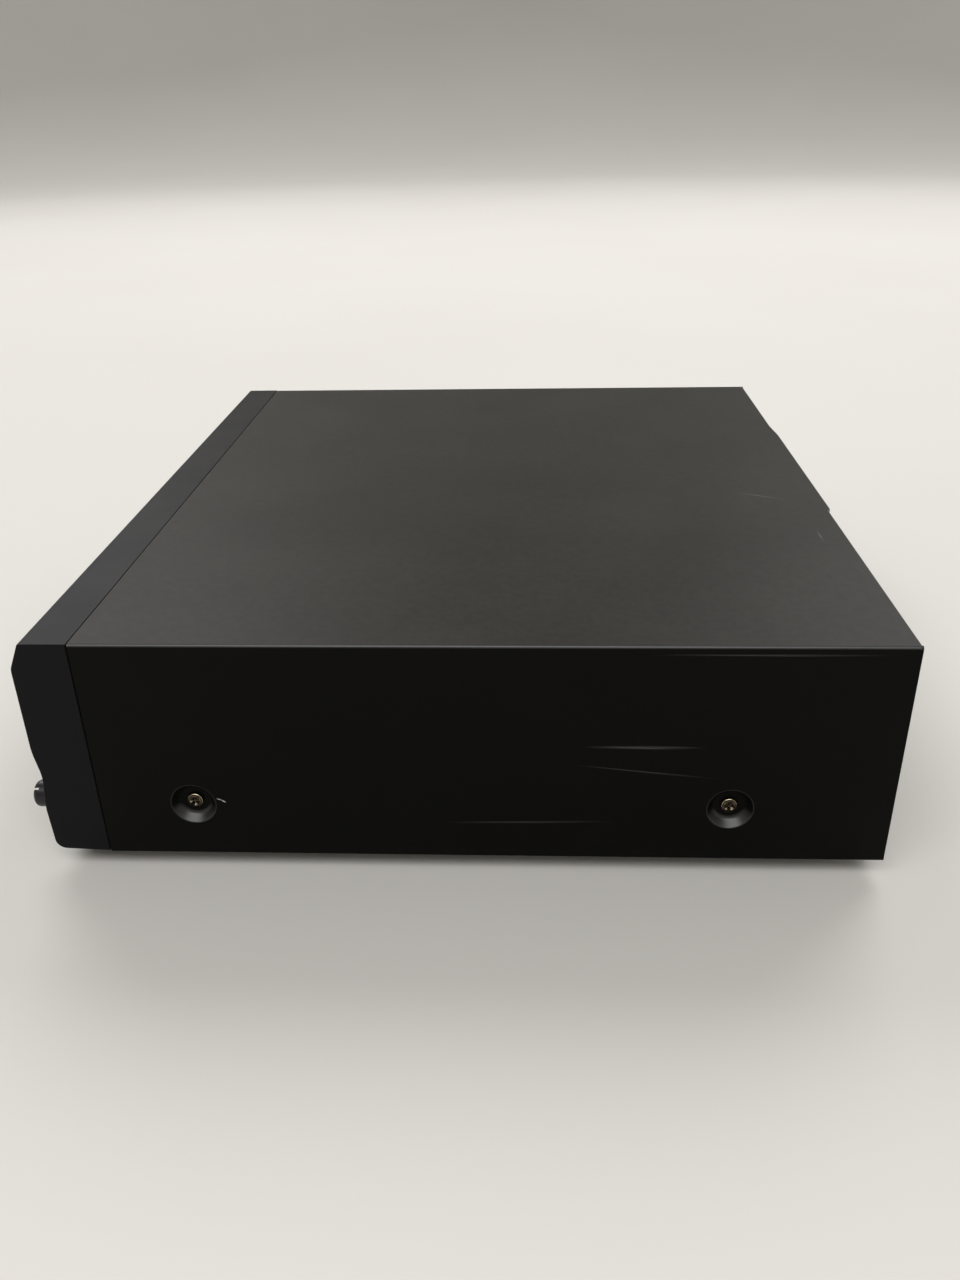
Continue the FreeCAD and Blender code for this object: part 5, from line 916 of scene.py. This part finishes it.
def make_fasteners(sizes, looks):
    """Side, rear and foot screws: rounded heads with cross recesses, each turned its own way."""
    half, _, _, _, cover_rear = cover_extent(sizes)
    seats = []
    for side, axis, spins in ((-1, "-x", (0.5, 1.1)), (1, "x", (0.15, 0.75))):
        for (y, z), spin in zip(side_screw_places(sizes), spins):
            seats.append(((side * (half - sizes.dish_depth), y, z), axis, spin))
    side_screw = (sizes.side_head_radius, sizes.side_head_depth, 0.8 * MM, sizes.side_cross, 1.9 * MM, 9 * MM)
    screws("side_screw_heads", "side_screws", looks["nickel_screws"], side_screw, seats)
    low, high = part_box("rear_screws")
    level = (low.z + high.z) / 2
    outer, inner = high.x - REAR_SCREW[0], sizes.rear_screw_inner
    seats = [((x, cover_rear, level), "y", spin) for x, spin in
             ((-outer, 0.3), (-inner, 0.9), (inner, 0.1), (outer, 0.6))]
    screws("rear_screw_heads", "rear_screws", looks["black_screws"], REAR_SCREW, seats)
    low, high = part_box("foot_screws")
    x, front, rear = (edge - FOOT_SCREW[0] * side for edge, side in ((high.x, 1), (low.y, -1), (high.y, 1)))
    seats = [((sx * x, y, FOOT_RECESS), "-z", spin) for sx, y, spin in
             ((-1, front, 0.2), (1, front, 0.8), (-1, rear, 0.5), (1, rear, 1.2))]
    screws("foot_screw_heads", "foot_screws", looks["zinc_screws"], FOOT_SCREW, seats)


# The front moulding's side profile: place along Y from its joint with the cover, height above the ground
# and radius of each corner, in millimetres.
PANEL_PROFILE = (
    (0, 117, 0), (-20.7, 117, 1.2), (-26, 104.9, 8), (-26, 63, 25), (-23.8, 50, 20), (-25.8, 34, 30),
    (-24.9, 10.2, 5), (0, 9.3, 0),
)


def panel_path():
    """The panel's side profile from its top rear edge to its bottom rear edge: its points, how far along it
    each of them lies, and their normals."""
    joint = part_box("front_panel")[1].y
    corners = [(u * MM, v * MM, turn * MM) for u, v, turn in PANEL_PROFILE]
    path = rounded(corners, closed=False, step=6) + np.array([joint, 0])
    steps = np.diff(path, axis=0)
    lengths = np.linalg.norm(steps, axis=1)
    runs = np.concatenate([[0], np.cumsum(lengths)])
    sides = np.column_stack([steps[:, 1], -steps[:, 0]]) / lengths[:, None]
    normals = np.concatenate([sides[:1], sides[:-1] + sides[1:], sides[-1:]])
    normals /= np.linalg.norm(normals, axis=1, keepdims=True)
    return path, runs, normals


def on_panel(points, path, runs, normals):
    """Carries points (x, run, height) from the flat onto the panel: run is the way along the profile, and
    height stands out along the profile's normal."""
    y, z = (np.interp(points[:, 1], runs, path[:, i]) for i in (0, 1))
    ny, nz = (np.interp(points[:, 1], runs, normals[:, i]) for i in (0, 1))
    return np.column_stack([points[:, 0], y + ny * points[:, 2], z + nz * points[:, 2]])


def panel_openings(sizes, path, runs):
    """Counter-clockwise loops (x, run) of the panel's openings, at the widest part of their rounded edges."""
    front = slice(np.argmin(path[:, 0] > path[0, 0] - 20 * MM), len(path) - 1)

    def run_of(height):
        return float(np.interp(-height, -path[front, 1], runs[front]))

    loops = []
    gap, soft = sizes.door_gap, sizes.opening_edge
    boxes = [(*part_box("tray_door"), gap, 1.2 * MM), (*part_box("display_window"), 0.3 * MM, 0.8 * MM)]
    for name in BUTTONS:
        low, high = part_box(name)
        boxes.append((low, high, sizes.button_gap - sizes.button_flange, 1.0 * MM))
    for low, high, room, corner in boxes:
        start, end = run_of(high.z + room), run_of(low.z - room)
        centre = ((low.x + high.x) / 2, (start + end) / 2)
        half_width, half_run = (high.x - low.x) / 2 + room + soft, (end - start) / 2 + soft
        loops.append(rectangle(half_width, half_run, corner + soft, centre))
    for name, radius in (("level_knob", 3.5 * MM), ("headphone_jack", 5.1 * MM)):
        low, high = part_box(name)
        level = (low.z + high.z) / 2
        loops.append(circular(radius + soft, ((low.x + high.x) / 2, run_of(level)), 40))
    return loops


def panel_skin(profile, reach, openings, height):
    """The moulding's outer or inner skin: its points in the flat, the same points bent, and its faces, with
    edges along every bend of the profile."""
    runs = profile[1]
    outline = crossed(np.array([(-reach, 0), (reach, 0), (reach, runs[-1]), (-reach, runs[-1])]), runs)
    bends = [((-reach, run), (reach, run)) for run in runs[1:-1]]
    flat, faces = flat_face(outline, openings, height, (), bends)
    return flat, on_panel(flat, *profile), faces


def across(loop, x):
    """A loop (y, z) stood up in the plane across the player at x."""
    return np.column_stack([np.full(len(loop), x), loop[:, :2]])


def make_panel(sizes, looks):
    """The front moulding: its side profile, arcs between straight runs, is carried across the player.
    Openings are cut in the flat and roll over into the wall, and both ends close with rounded edges."""
    profile = path, runs, normals = panel_path()
    (joint, top), (_, foot) = path[0], path[-1]
    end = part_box("front_panel")[1].x
    edge, wall, soft = sizes.panel_edge, sizes.panel_wall, sizes.opening_edge
    half, inner_half = end - edge, end - wall
    turn = np.linspace(0, math.pi / 2, 4)
    loops = [crossed(loop, runs) for loop in panel_openings(sizes, path, runs)]
    _, skin, faces = panel_skin(profile, half, loops, 0.0)
    parts = [(skin, faces)]
    rolls = [(soft * math.sin(t), -soft * (1 - math.cos(t))) for t in turn] + [(soft, -wall)]
    for loop in loops:
        rings = [on_panel(ring_at(inset(loop, amount), height), *profile) for amount, height in rolls]
        parts.append(grid(np.array(rings), wrap=True))
    flat, skin, faces = panel_skin(profile, inner_half, [inset(loop, soft) for loop in loops], -wall)
    inner_ends = (joint, top - wall), (joint, foot + wall)
    skin[:, 1] = np.minimum(skin[:, 1], joint)
    skin[flat[:, 1] < 1e-7, 1:], skin[flat[:, 1] > runs[-1] - 1e-7, 1:] = inner_ends
    parts.append((skin, faces))
    inner_loop = path - normals * wall
    inner_loop[:, 0] = np.minimum(inner_loop[:, 0], joint)
    inner_loop[[0, -1]] = inner_ends
    outer_loop = path if loop_area(path) > 0 else path[::-1]
    rolls = [(edge * (1 - math.cos(t)), half + edge * math.sin(t)) for t in turn]
    for side in (-1, 1):
        rings = [across(inset(outer_loop, amount), side * x) for amount, x in rolls]
        parts.append(grid(np.array(rings), wrap=True))
        for loop, x in ((inset(outer_loop, edge), end), (inner_loop, inner_half)):
            cap, faces = flat_face(loop)
            parts.append((across(cap, side * x), faces))
    outer_rim = np.array([(-half, foot), (half, foot), (half, top), (-half, top)])
    inner_rim = np.array([
        (-inner_half, foot + wall), (inner_half, foot + wall),
        (inner_half, top - wall), (-inner_half, top - wall),
    ])
    rim, faces = flat_face(outer_rim, (inner_rim,))
    parts.append((np.column_stack([rim[:, 0], np.full(len(rim), joint), rim[:, 1]]), faces))
    finish(piece("panel_moulding", parts, smooth=35), looks["panel_plastic"], "front_panel")


def loop_area(loop):
    ahead = np.roll(loop, -1, axis=0)
    return 0.5 * (loop[:, 0] * ahead[:, 1] - ahead[:, 0] * loop[:, 1]).sum()


def make_door(sizes, looks):
    """The tray's door and the display window: rounded plates whose long edges roll over quarter circles."""
    for name, node, slot, edge, corner in (
        ("tray_door_plate", "tray_door", "door_plastic", sizes.door_edge, 1.2 * MM),
        ("display_window_plate", "display_window", "smoked_acrylic", 0.5 * MM, 0.8 * MM),
    ):
        low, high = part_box(node)
        outline = rectangle((high.x - low.x) / 2, (high.z - low.z) / 2, corner)
        part = block(outline, 0, high.y - low.y, edge, 0.2 * MM)
        finish(piece(name, [upright(part, middle_at(low, high, high.y))]), looks[slot], node)


def middle_at(low, high, y):
    """The middle of a box as seen from the front, at a depth of y."""
    return (low.x + high.x) / 2, y, (low.z + high.z) / 2


def upright(part, centre):
    """Stands a flat part up: its u runs along X, its v along Z, and it rises towards the front."""
    points, faces = part
    return np.column_stack([points[:, 0], -points[:, 2], points[:, 1]]) + np.array(centre), faces


def symbols():
    """Outlines of the plain signs on the buttons, in millimetres about each button's middle."""
    bar = rectangle(0.4, 1.5, 0.1)
    left = np.array([(1.2, -1.4), (1.2, 1.4), (-1.0, 0)])[::-1]
    right = -left
    arc = np.linspace(math.radians(125), math.radians(415), 25)
    ring = np.concatenate([1.5 * np.column_stack([np.cos(arc), np.sin(arc)]),
                           1.1 * np.column_stack([np.cos(arc), np.sin(arc)])[::-1]])
    return {
        "power_button": [ring - (0, 0.1), rectangle(0.2, 0.75, 0.05) + (0, 1.0)],
        "open_close_button": [np.array([(-1.6, -0.3), (1.6, -0.3), (0, 1.5)]),
                              rectangle(1.6, 0.35, 0.1) - (0, 1.1)],
        "skip_back_button": [left + (0.9, 0), left - (1.2, 0), bar - (2.7, 0)],
        "skip_forward_button": [right - (0.9, 0), right + (1.2, 0), bar + (2.7, 0)],
        "pause_button": [bar - (0.8, 0), bar + (0.8, 0)],
        "stop_button": [rectangle(1.3, 1.3, 0.1)],
        "play_button": [np.array([(-1.3, -1.6), (1.6, 0), (-1.3, 1.6)])],
    }


def make_buttons(sizes, looks):
    """Caps with rolled edges on a keeper plate and a stem, and pad-printed signs on their faces."""
    signs = symbols()
    reach, keeper, stem, flange = 5.8 * MM, 1.4 * MM, 2 * MM, sizes.button_flange
    for name in BUTTONS:
        low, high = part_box(name)
        middle = middle_at(low, high, low.y)
        half_u, half_v = (high.x - low.x) / 2 - flange, (high.z - low.z) / 2 - flange
        plate = rectangle(half_u + flange, half_v + flange, 0.4 * MM)
        parts = [
            upright(block(rectangle(half_u, half_v, 0.8 * MM), -reach, 0, sizes.button_edge), middle),
            upright(block(plate, -reach - keeper, -reach, 0.2 * MM), middle),
            upright(block(circle(stem, 24), low.y - high.y, -reach - keeper, 0, 0.3 * MM), middle),
        ]
        finish(piece(name + "_cap", parts), looks["button_plastic"], name)
        marks = [upright(slab(outline * MM, -0.05 * MM, 0.04 * MM), middle) for outline in signs[name]]
        detail(piece(name + "_sign", marks, smooth=10), looks["ink"], NODES[name]["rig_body"])


def make_knob(sizes, looks):
    """The level knob, turned about its shaft: shaft, skirt, drum and a rounded front with a shallow dish. A
    white index line stands on the drum and runs on round its front edge."""
    low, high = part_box("level_knob")
    middle = middle_at(low, high, low.y)
    length, drum, front, roll, last = (high.y - low.y) / MM, 6.3, -0.06, 2.4, 5.1
    profile = profiled([
        (0, -length, 0), (3, -length, 0.3), (3, -9.2, 0), (7.3, -9.2, 0.4), (7.3, -7.8, 0.4),
        (drum, -7.8, 0.3), (drum, front, roll), (3.4, front, 0.6), (2.9, -0.5, 0.5), (0, -0.55, 0),
    ], step=9)
    knob = piece("knob_turning", [upright(lathed(profile, 96), middle)], smooth=35)
    finish(knob, looks["knob_plastic"], "level_knob")
    path = profiled([(drum, -sizes.index_length / MM, 0), (drum, front, roll), (3.6, front, 0)], step=9)
    path = path[path[:, 0] > last * MM]
    spread = sizes.index_width / 2 / (drum * MM)
    turn = math.radians(sizes.index_turn) + np.linspace(-spread, spread, 5)
    skins = []
    for lift in (0.06 * MM, -0.1 * MM):
        steps = np.gradient(path, axis=0)
        steps /= np.linalg.norm(steps, axis=1, keepdims=True)
        lifted = path + lift * np.column_stack([steps[:, 1], -steps[:, 0]])
        skins.append(np.stack([lifted[:, :1] * np.cos(turn), lifted[:, :1] * np.sin(turn),
                               np.broadcast_to(lifted[:, 1:], (len(path), len(turn)))], axis=-1))
    strip = capped(np.concatenate([skins[0], skins[1][:, ::-1]], axis=1))
    index = piece("knob_index", [upright(strip, middle)], smooth=35)
    detail(index, looks["ink"], NODES["level_knob"]["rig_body"])


def make_feet(sizes, looks):
    """Moulded feet, turned about their screws, and ribbed rubber pads let into them."""
    low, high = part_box("feet")
    radius = 22 * MM
    places = [(x, y) for x in (low.x + radius, high.x - radius) for y in (low.y + radius, high.y - radius)]
    foot = profiled([
        (1.95, 9, 0), (22, 9, 0.5), (18.1, 1, 1.2), (15.1, 1, 0.3), (15.1, 2, 0), (4.1, 2, 0), (4.1, 4, 0),
        (1.95, 4, 0), (1.95, 9, 0),
    ])
    pad = profiled([
        (0, 2, 0), (15, 2, 0), (15, 0, 0.5), (12, 0, 0.3), (12, 0.5, 0), (10.5, 0.5, 0), (10.5, 0, 0.3),
        (7.5, 0, 0.3), (7.5, 0.5, 0), (6, 0.5, 0), (6, 0, 0.3), (0, 0, 0),
    ])
    for name, node, slot, profile in (("foot_mouldings", "feet", "foot_plastic", foot),
                                      ("pad_rings", "foot_pads", "foot_rubber", pad)):
        parts = [placed(lathed(profile, 64), (x, y, 0)) for x, y in places]
        finish(piece(name, parts, smooth=35), looks[slot], node)


def make_jacks(sizes, looks):
    """Phono sockets: a flange, a rolled barrel with a ring groove, an insert in the colour of its signal and
    a hollow centre contact, turned about each socket. Their housings stay behind the rear panel."""
    low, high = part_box("phono_jacks")
    flange, standing = 5.6, 9
    columns = np.linspace(low.x + flange * MM, high.x - flange * MM, 3)
    rows = (low.z + flange * MM, high.z - flange * MM)
    wall = high.y - standing * MM
    barrel = profiled([
        (1.6, -1, 0), (flange, 0, 0), (flange, 1.2, 0.3), (4.15, 1.2, 0.2), (4.15, 5.2, 0), (3.95, 5.4, 0),
        (3.95, 5.9, 0), (4.15, 6.1, 0), (4.15, standing, 0.35), (3.5, standing, 0.2), (3.5, 2, 0),
        (2.2, 2, 0), (1.6, -1, 0),
    ])
    insert = profiled([
        (3.48, 2, 0), (3.48, 8.2, 0.3), (2.3, 8.2, 0.4), (1.9, 7.4, 0), (1.9, 2, 0), (3.48, 2, 0),
    ])
    contact = profiled([
        (0, 2, 0), (1.88, 2, 0), (1.88, 7.6, 0.15), (1.5, 7.6, 0.1), (1.5, 3, 0), (0, 3, 0),
    ])
    housing = block(rectangle(5 * MM, 5 * MM, 0.6 * MM), -13 * MM, -1 * MM, 0.3 * MM, 0.3 * MM)
    neck = block(circle(4.6 * MM, 32), -1 * MM, 0)
    shells, contacts, bodies = [], [], []
    for i, x in enumerate(columns):
        inserts = []
        for z in rows:
            spot = (x, wall, z)
            shells.append(placed(lathed(barrel), spot, "y"))
            contacts.append(placed(lathed(contact, 32), spot, "y"))
            inserts.append(placed(lathed(insert), spot, "y"))
            bodies += [placed(housing, spot, "y"), placed(neck, spot, "y")]
        colour = ("yellow_insert", "white_insert", "red_insert")[i]
        detail(piece(colour + "s", inserts), looks[colour], NODES["phono_jacks"]["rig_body"])
    finish(piece("phono_barrels", shells + contacts), looks["gilded_metal"], "phono_jacks")
    detail(piece("phono_housings", bodies), looks["inlet_plastic"], NODES["phono_jacks"]["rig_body"])


# Nodes whose solid is right as it is: a welded copy gets its edges rounded by this radius, in millimetres.
SOFTENED = {
    "rear_panel": 0.2, "chassis_base": 0.25, "side_frame_left": 0.25, "side_frame_right": 0.25,
    "clamp_bridge": 0.25, "display_tube": 0.5, "deck_dampers": 0.6, "headphone_jack": 0.3, "front_board": 0.1,
    "main_board": 0.1, "power_board": 0.1, "board_chips": 0.2, "key_switches": 0.2, "level_pot": 0.3,
    "capacitors": 0.6, "power_transformer": 0.5, "heat_sink": 0.2, "mains_inlet": 0.4, "control_jacks": 0.3,
    "s_video_socket": 0.25, "ribbon_cable": 0.1, "mech_deck": 0.4, "tray_guides": 0.3, "disc_tray": 0.4,
    "tray_rack": 0.12, "loading_motor": 0.5, "motor_pulley": 0.2, "pulley_gear": 0.12, "drive_gear": 0.12,
    "gear_shafts": 0.2, "clamp_arm": 0.3, "clamper": 0.4, "spindle_motor": 0.4, "turntable": 0.3,
    "turntable_mat": 0.1, "guide_shafts": 0.3, "carriage": 0.4, "objective_lens": 0.2, "feed_motor": 0.5,
    "feed_pinion": 0.08, "feed_gear": 0.1, "drive_belt": 0.2,
}


def make_inside(sizes, looks):
    """Everything else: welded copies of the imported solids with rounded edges."""
    for node, edge in SOFTENED.items():
        finish(softened(node, node + "_softened", edge * MM), looks[SLOT_OF[node]], node)


def lead_rows(low, high, sides, pitch):
    """Bent leads along the sides of a chip: one lead's outline, swept through its bends, repeated at the
    pitch."""
    bends = np.array([(-0.3, 1.3), (0.5, 1.3), (0.85, 0.15), (1.6, 0.1)]) * MM
    half, gauge = 0.2 * MM, 0.12 * MM
    ring = np.array([(-half, 0), (half, 0), (half, gauge), (-half, gauge)])
    lead = np.stack([np.column_stack([np.full(4, out), ring[:, 0], up + ring[:, 1]]) for out, up in bends])
    points, faces = capped(lead)
    reach, span = (high.x - low.x) / 2, (high.y - low.y) / 2 - 1.2 * MM
    centre = ((low.x + high.x) / 2, (low.y + high.y) / 2, low.z)
    rows = []
    for side in range(sides):
        for along in np.linspace(-span, span, int(2 * span / pitch) + 1):
            row = (points + (reach, along, 0), faces)
            rows.append(placed(row, centre, "z", side * 2 * math.pi / sides))
    return rows


def make_boards(sizes, looks):
    """What stands out on the boards: the chips' leads and the tape round the transformer's winding."""
    mesh = NODES["board_chips"].data
    spots = np.empty(len(mesh.vertices) * 3)
    mesh.vertices.foreach_get("co", spots)
    leads = []
    for corners in spots.reshape(len(mesh.polygons) // 12, -1, 3):
        low, high = Vector(corners.min(axis=0)), Vector(corners.max(axis=0))
        wide = high.x - low.x > 20 * MM
        leads += lead_rows(low, high, 4 if wide else 2, 1.27 * MM)
    detail(piece("chip_leads", leads), looks["tinned_leads"], "root")
    low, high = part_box("power_transformer")
    across, up = (low.x + high.x) / 2, low.z + sizes.coil_rise
    depth = (high.y - low.y - sizes.core_depth) / 2
    outline = rectangle(sizes.coil_width / 2 + 0.2 * MM, sizes.coil_height / 2 + 0.2 * MM, 1.5 * MM)
    tape = [upright(block(outline, 0, depth, 0.6 * MM, 0.6 * MM), (across, y, up))
            for y in (low.y + depth - 0.1 * MM, high.y + 0.1 * MM)]
    detail(piece("winding_tape", tape), looks["winding_tape"], "root")


def camera_turn():
    """The camera's rotation from its yaw, its pitch below the horizon and its roll."""
    yaw, pitch, roll = (math.radians(a) for a in (CAMERA_YAW, CAMERA_PITCH, CAMERA_ROLL))
    ahead = Vector((-math.cos(pitch) * math.cos(yaw), -math.cos(pitch) * math.sin(yaw), -math.sin(pitch)))
    level = ahead.cross(Vector((0, 0, 1))).normalized()
    right = level * math.cos(roll) + level.cross(ahead) * math.sin(roll)
    return Matrix((right, right.cross(ahead), -ahead)).transposed().to_4x4()


def studio_sweep(sizes):
    """A floor that curves up into a backdrop all round, as one turned surface."""
    flat, rise = sizes.floor_radius, sizes.floor_rise
    turn = np.linspace(0, math.radians(sizes.floor_turn), 12)
    curve = np.column_stack([flat + rise * np.sin(turn), rise * (1 - np.cos(turn))])
    backdrop_top = curve[-1] + (0.2, 1.5)
    floor = piece("studio_floor", [lathed(np.concatenate([[(0, 0)], curve, [backdrop_top]]), 96)], smooth=60)
    floor.data.materials.append(studio_floor())
    return floor


def soft_light(name, place, width, height, power):
    """A large oval light that faces the player."""
    lamp = bpy.data.lights.new(name, "AREA")
    lamp.shape, lamp.size, lamp.size_y, lamp.energy = "ELLIPSE", width, height, power
    item = bpy.data.objects.new(name, lamp)
    item.location = place
    item.rotation_euler = (Vector((0, 0, 0.05)) - Vector(place)).to_track_quat("-Z", "Y").to_euler()
    bpy.context.scene.collection.objects.link(item)
    return item


def photo_camera():
    camera = bpy.data.cameras.new("photo_camera")
    camera.lens, camera.sensor_width, camera.clip_start = CAMERA_LENS, SENSOR_SIZE, 0.01
    view = bpy.data.objects.new("photo_camera", camera)
    view.matrix_world = Matrix.Translation(CAMERA_PLACE) @ camera_turn()
    bpy.context.scene.collection.objects.link(view)
    return view


def make_stage(sizes, looks):
    """A pale floor and backdrop, one soft light above the near side and two from windows on the far side, the
    light of the room, and the photograph's camera."""
    floor = studio_sweep(sizes)
    lights = [
        soft_light("key_light", (1.9, -0.3, 2.9), 4.6, 1.9, sizes.key_power),
        soft_light("front_window", (-2.7, -1.6, 2.9), 2.3, 2.3, sizes.window_power),
        soft_light("rear_window", (-2.6, 1.7, 2.8), 2.3, 2.3, sizes.window_power),
    ]
    world = bpy.data.worlds.new("studio_air")
    world.use_nodes = True
    world.node_tree.nodes["Background"].inputs["Color"].default_value = linear("f1f0ee")
    world.node_tree.nodes["Background"].inputs["Strength"].default_value = sizes.air_strength
    scene = bpy.context.scene
    scene.world = world
    view = photo_camera()
    scene.camera = view
    scene.view_settings.view_transform = "Standard"


def studio_floor():
    """Matt paper sweep: pale, with a hardly visible tone of its own."""
    material, add, shader, place = blank("paper_sweep")
    cloud = add("TexNoise", {"Vector": place, "Scale": 1 / 0.6})
    feed(shader, {
        "Base Color": overlaid(add, cloud, linear("d8d5cf"), linear("dedbd6")),
        "Roughness": 0.85,
    })
    return material


# Settings and buttons in Blender

def length(name, description, millimetres):
    return bpy.props.FloatProperty(name=name, description=description, default=millimetres * MM, min=0.0,
                                   unit="LENGTH", precision=5)


def colour(name, description, code):
    return bpy.props.FloatVectorProperty(name=name, description=description, default=linear(code)[:3], size=3,
                                         min=0.0, max=1.0, subtype="COLOR")


def amount(name, description, value):
    return bpy.props.FloatProperty(name=name, description=description, default=value, min=0.0)


class PlayerSizes(bpy.types.PropertyGroup):
    """Sizes of the fine pieces and of the stage."""

    cover_gauge: length("Cover gauge", "Thickness of the cover's sheet", 1.0)
    cover_bend: length("Cover bend", "Outer radius of the bends along the cover's sides", 1.5)
    lip_bend: length("Lip bend", "Outer radius of the bend at the cover's rear", 1.2)
    lip_height: length("Lip height", "How far the rear lip hangs down", 12.0)
    seam: length("Seam", "Gap between front panel and cover", 0.5)
    dish_radius: length("Dish radius", "Radius of a side dish at the cover's face", 10.25)
    dish_rim: length("Dish rim", "Radius of the roll round a side dish", 0.8)
    dish_floor_radius: length("Dish floor radius", "Radius of a dish's flat floor", 7.2)
    dish_depth: length("Dish depth", "How deep a side dish is pressed", 4.0)
    dish_front: length("Front dish place", "From the panel joint to the front dish", 43.0)
    dish_rear: length("Rear dish place", "From the cover's rear edge to the rear dish", 70.4)
    dish_level: length("Dish level", "From the cover's bottom edge to the dishes", 27.0)
    side_shaft_radius: length("Side hole radius", "Hole for a side screw", 2.0)
    side_head_radius: length("Side head radius", "Radius of a side screw's head", 3.6)
    side_head_depth: length("Side head depth", "Height of a side screw's head", 2.2)
    side_cross: length("Side cross length", "Length of the cross in a side screw", 4.6)
    rear_screw_inner: length("Inner rear screws", "Distance of the inner rear screws from the middle", 118.0)
    tab_proud: length("Tab rise", "How far the lip's middle stands proud", 1.5)
    tab_start: bpy.props.FloatProperty(name="Tab start", description="Where the far slope of the tab starts",
                                       default=-0.106, unit="LENGTH")
    tab_full: bpy.props.FloatProperty(name="Tab full", description="Where the far slope of the tab ends",
                                      default=-0.085, unit="LENGTH")
    tab_end_full: length("Tab end", "Where the near slope of the tab starts", 50.0)
    tab_end: length("Tab foot", "Where the near slope of the tab ends", 54.0)
    panel_wall: length("Panel wall", "Wall thickness of the front moulding", 2.5)
    panel_edge: length("Panel edge", "Radius of the moulding's end edges", 0.5)
    opening_edge: length("Opening edge", "Radius round the moulding's openings", 0.4)
    door_gap: length("Door gap", "Gap round the tray's door", 0.4)
    door_edge: length("Door edge", "Radius of the door's edges", 0.6)
    button_gap: length("Button gap", "Gap round a button", 0.4)
    button_flange: length("Button flange", "How far a button's keeper reaches past its cap", 1.2)
    button_edge: length("Button edge", "Radius of a button's edges", 0.5)
    index_width: length("Index width", "Width of the knob's white line", 0.9)
    index_length: length("Index length", "How far the white line runs back along the knob", 3.1)
    index_turn: amount("Index turn", "Angle of the knob's line above its side, in degrees", 52.0)
    coil_width: length("Coil width", "Width of the transformer's winding", 34.0)
    coil_height: length("Coil height", "Height of the transformer's winding", 30.0)
    coil_rise: length("Coil level", "Middle of the winding above the transformer's foot", 23.0)
    core_depth: length("Core depth", "Depth of the stack of laminations", 22.0)
    floor_radius: length("Floor radius", "Radius of the flat part of the studio floor", 4000.0)
    floor_rise: length("Backdrop radius", "Radius of the curve between floor and backdrop", 3000.0)
    floor_turn: amount("Backdrop turn", "How far the floor curves up, in degrees", 80.0)
    key_power: amount("Key light", "Power of the key light in watts", 62.0)
    window_power: amount("Window power", "Power of each light from the far side in watts", 60.0)
    air_strength: amount("Air strength", "Strength of the light from all round", 0.42)


class PlayerFinish(bpy.types.PropertyGroup):
    """Colours of the pieces that are seen most."""

    cover_paint: colour("Cover paint", "Enamel of the cover", "090908")
    panel_plastic: colour("Panel plastic", "Plastic of the front moulding", "111012")


looks_made = {}


class FinishesOperator(bpy.types.Operator):
    """Make the player's materials"""

    bl_idname = "player.finishes"
    bl_label = "Make finishes"

    def execute(self, context):
        looks_made.update(make_materials())
        return {"FINISHED"}


class PieceOperator:
    """What the operators share: each makes its pieces from the scene's sizes and the finishes."""

    bl_options = {"REGISTER", "UNDO"}

    def execute(self, context):
        if not looks_made:
            raise RuntimeError("the finishes aren't made yet: run player.finishes first")
        for step in self.steps:
            step(context.scene.player_sizes, looks_made)
        return {"FINISHED"}


class CoverOperator(PieceOperator, bpy.types.Operator):
    """Make the folded sheet-steel cover"""

    bl_idname = "player.cover"
    bl_label = "Make cover"
    steps = (make_cover,)


class FastenersOperator(PieceOperator, bpy.types.Operator):
    """Make the screws"""

    bl_idname = "player.fasteners"
    bl_label = "Make screws"
    steps = (make_fasteners,)


class FrontOperator(PieceOperator, bpy.types.Operator):
    """Make the front moulding, the door, the window, the buttons and the knob"""

    bl_idname = "player.front"
    bl_label = "Make front"
    steps = (make_panel, make_door, make_buttons, make_knob)


class FeetOperator(PieceOperator, bpy.types.Operator):
    """Make the feet and their pads"""

    bl_idname = "player.feet"
    bl_label = "Make feet"
    steps = (make_feet,)


class JacksOperator(PieceOperator, bpy.types.Operator):
    """Make the phono sockets"""

    bl_idname = "player.jacks"
    bl_label = "Make sockets"
    steps = (make_jacks,)


class InsideOperator(PieceOperator, bpy.types.Operator):
    """Make the rear, the chassis, the boards and the mechanism"""

    bl_idname = "player.inside"
    bl_label = "Make inside"
    steps = (make_inside, make_boards)


class StageOperator(PieceOperator, bpy.types.Operator):
    """Make the floor, the lights and the camera"""

    bl_idname = "player.stage"
    bl_label = "Make stage"
    steps = (make_stage,)


OPERATORS = (FinishesOperator, CoverOperator, FastenersOperator, FrontOperator, FeetOperator, JacksOperator,
             InsideOperator, StageOperator)


class PlayerPanel(bpy.types.Panel):
    """Lists the steps that make the player, with its sizes and colours"""

    bl_idname = "VIEW3D_PT_player"
    bl_label = "Laserdisc player"
    bl_space_type = "VIEW_3D"
    bl_region_type = "UI"
    bl_category = "Player"

    def draw(self, context):
        for operator in OPERATORS:
            self.layout.operator(operator.bl_idname)
        for group in (context.scene.player_sizes, context.scene.player_finish):
            column = self.layout.column()
            for name in group.__annotations__:
                column.prop(group, name)


def register():
    for group in (PlayerSizes, PlayerFinish, *OPERATORS, PlayerPanel):
        bpy.utils.register_class(group)
    bpy.types.Scene.player_sizes = bpy.props.PointerProperty(type=PlayerSizes)
    bpy.types.Scene.player_finish = bpy.props.PointerProperty(type=PlayerFinish)


def unregister():
    del bpy.types.Scene.player_sizes, bpy.types.Scene.player_finish
    for group in reversed((PlayerSizes, PlayerFinish, *OPERATORS, PlayerPanel)):
        bpy.utils.unregister_class(group)


def main():
    register()
    for operator in OPERATORS:
        family, step = operator.bl_idname.split(".")
        getattr(getattr(bpy.ops, family), step)()


if __name__ == "__main__":
    main()
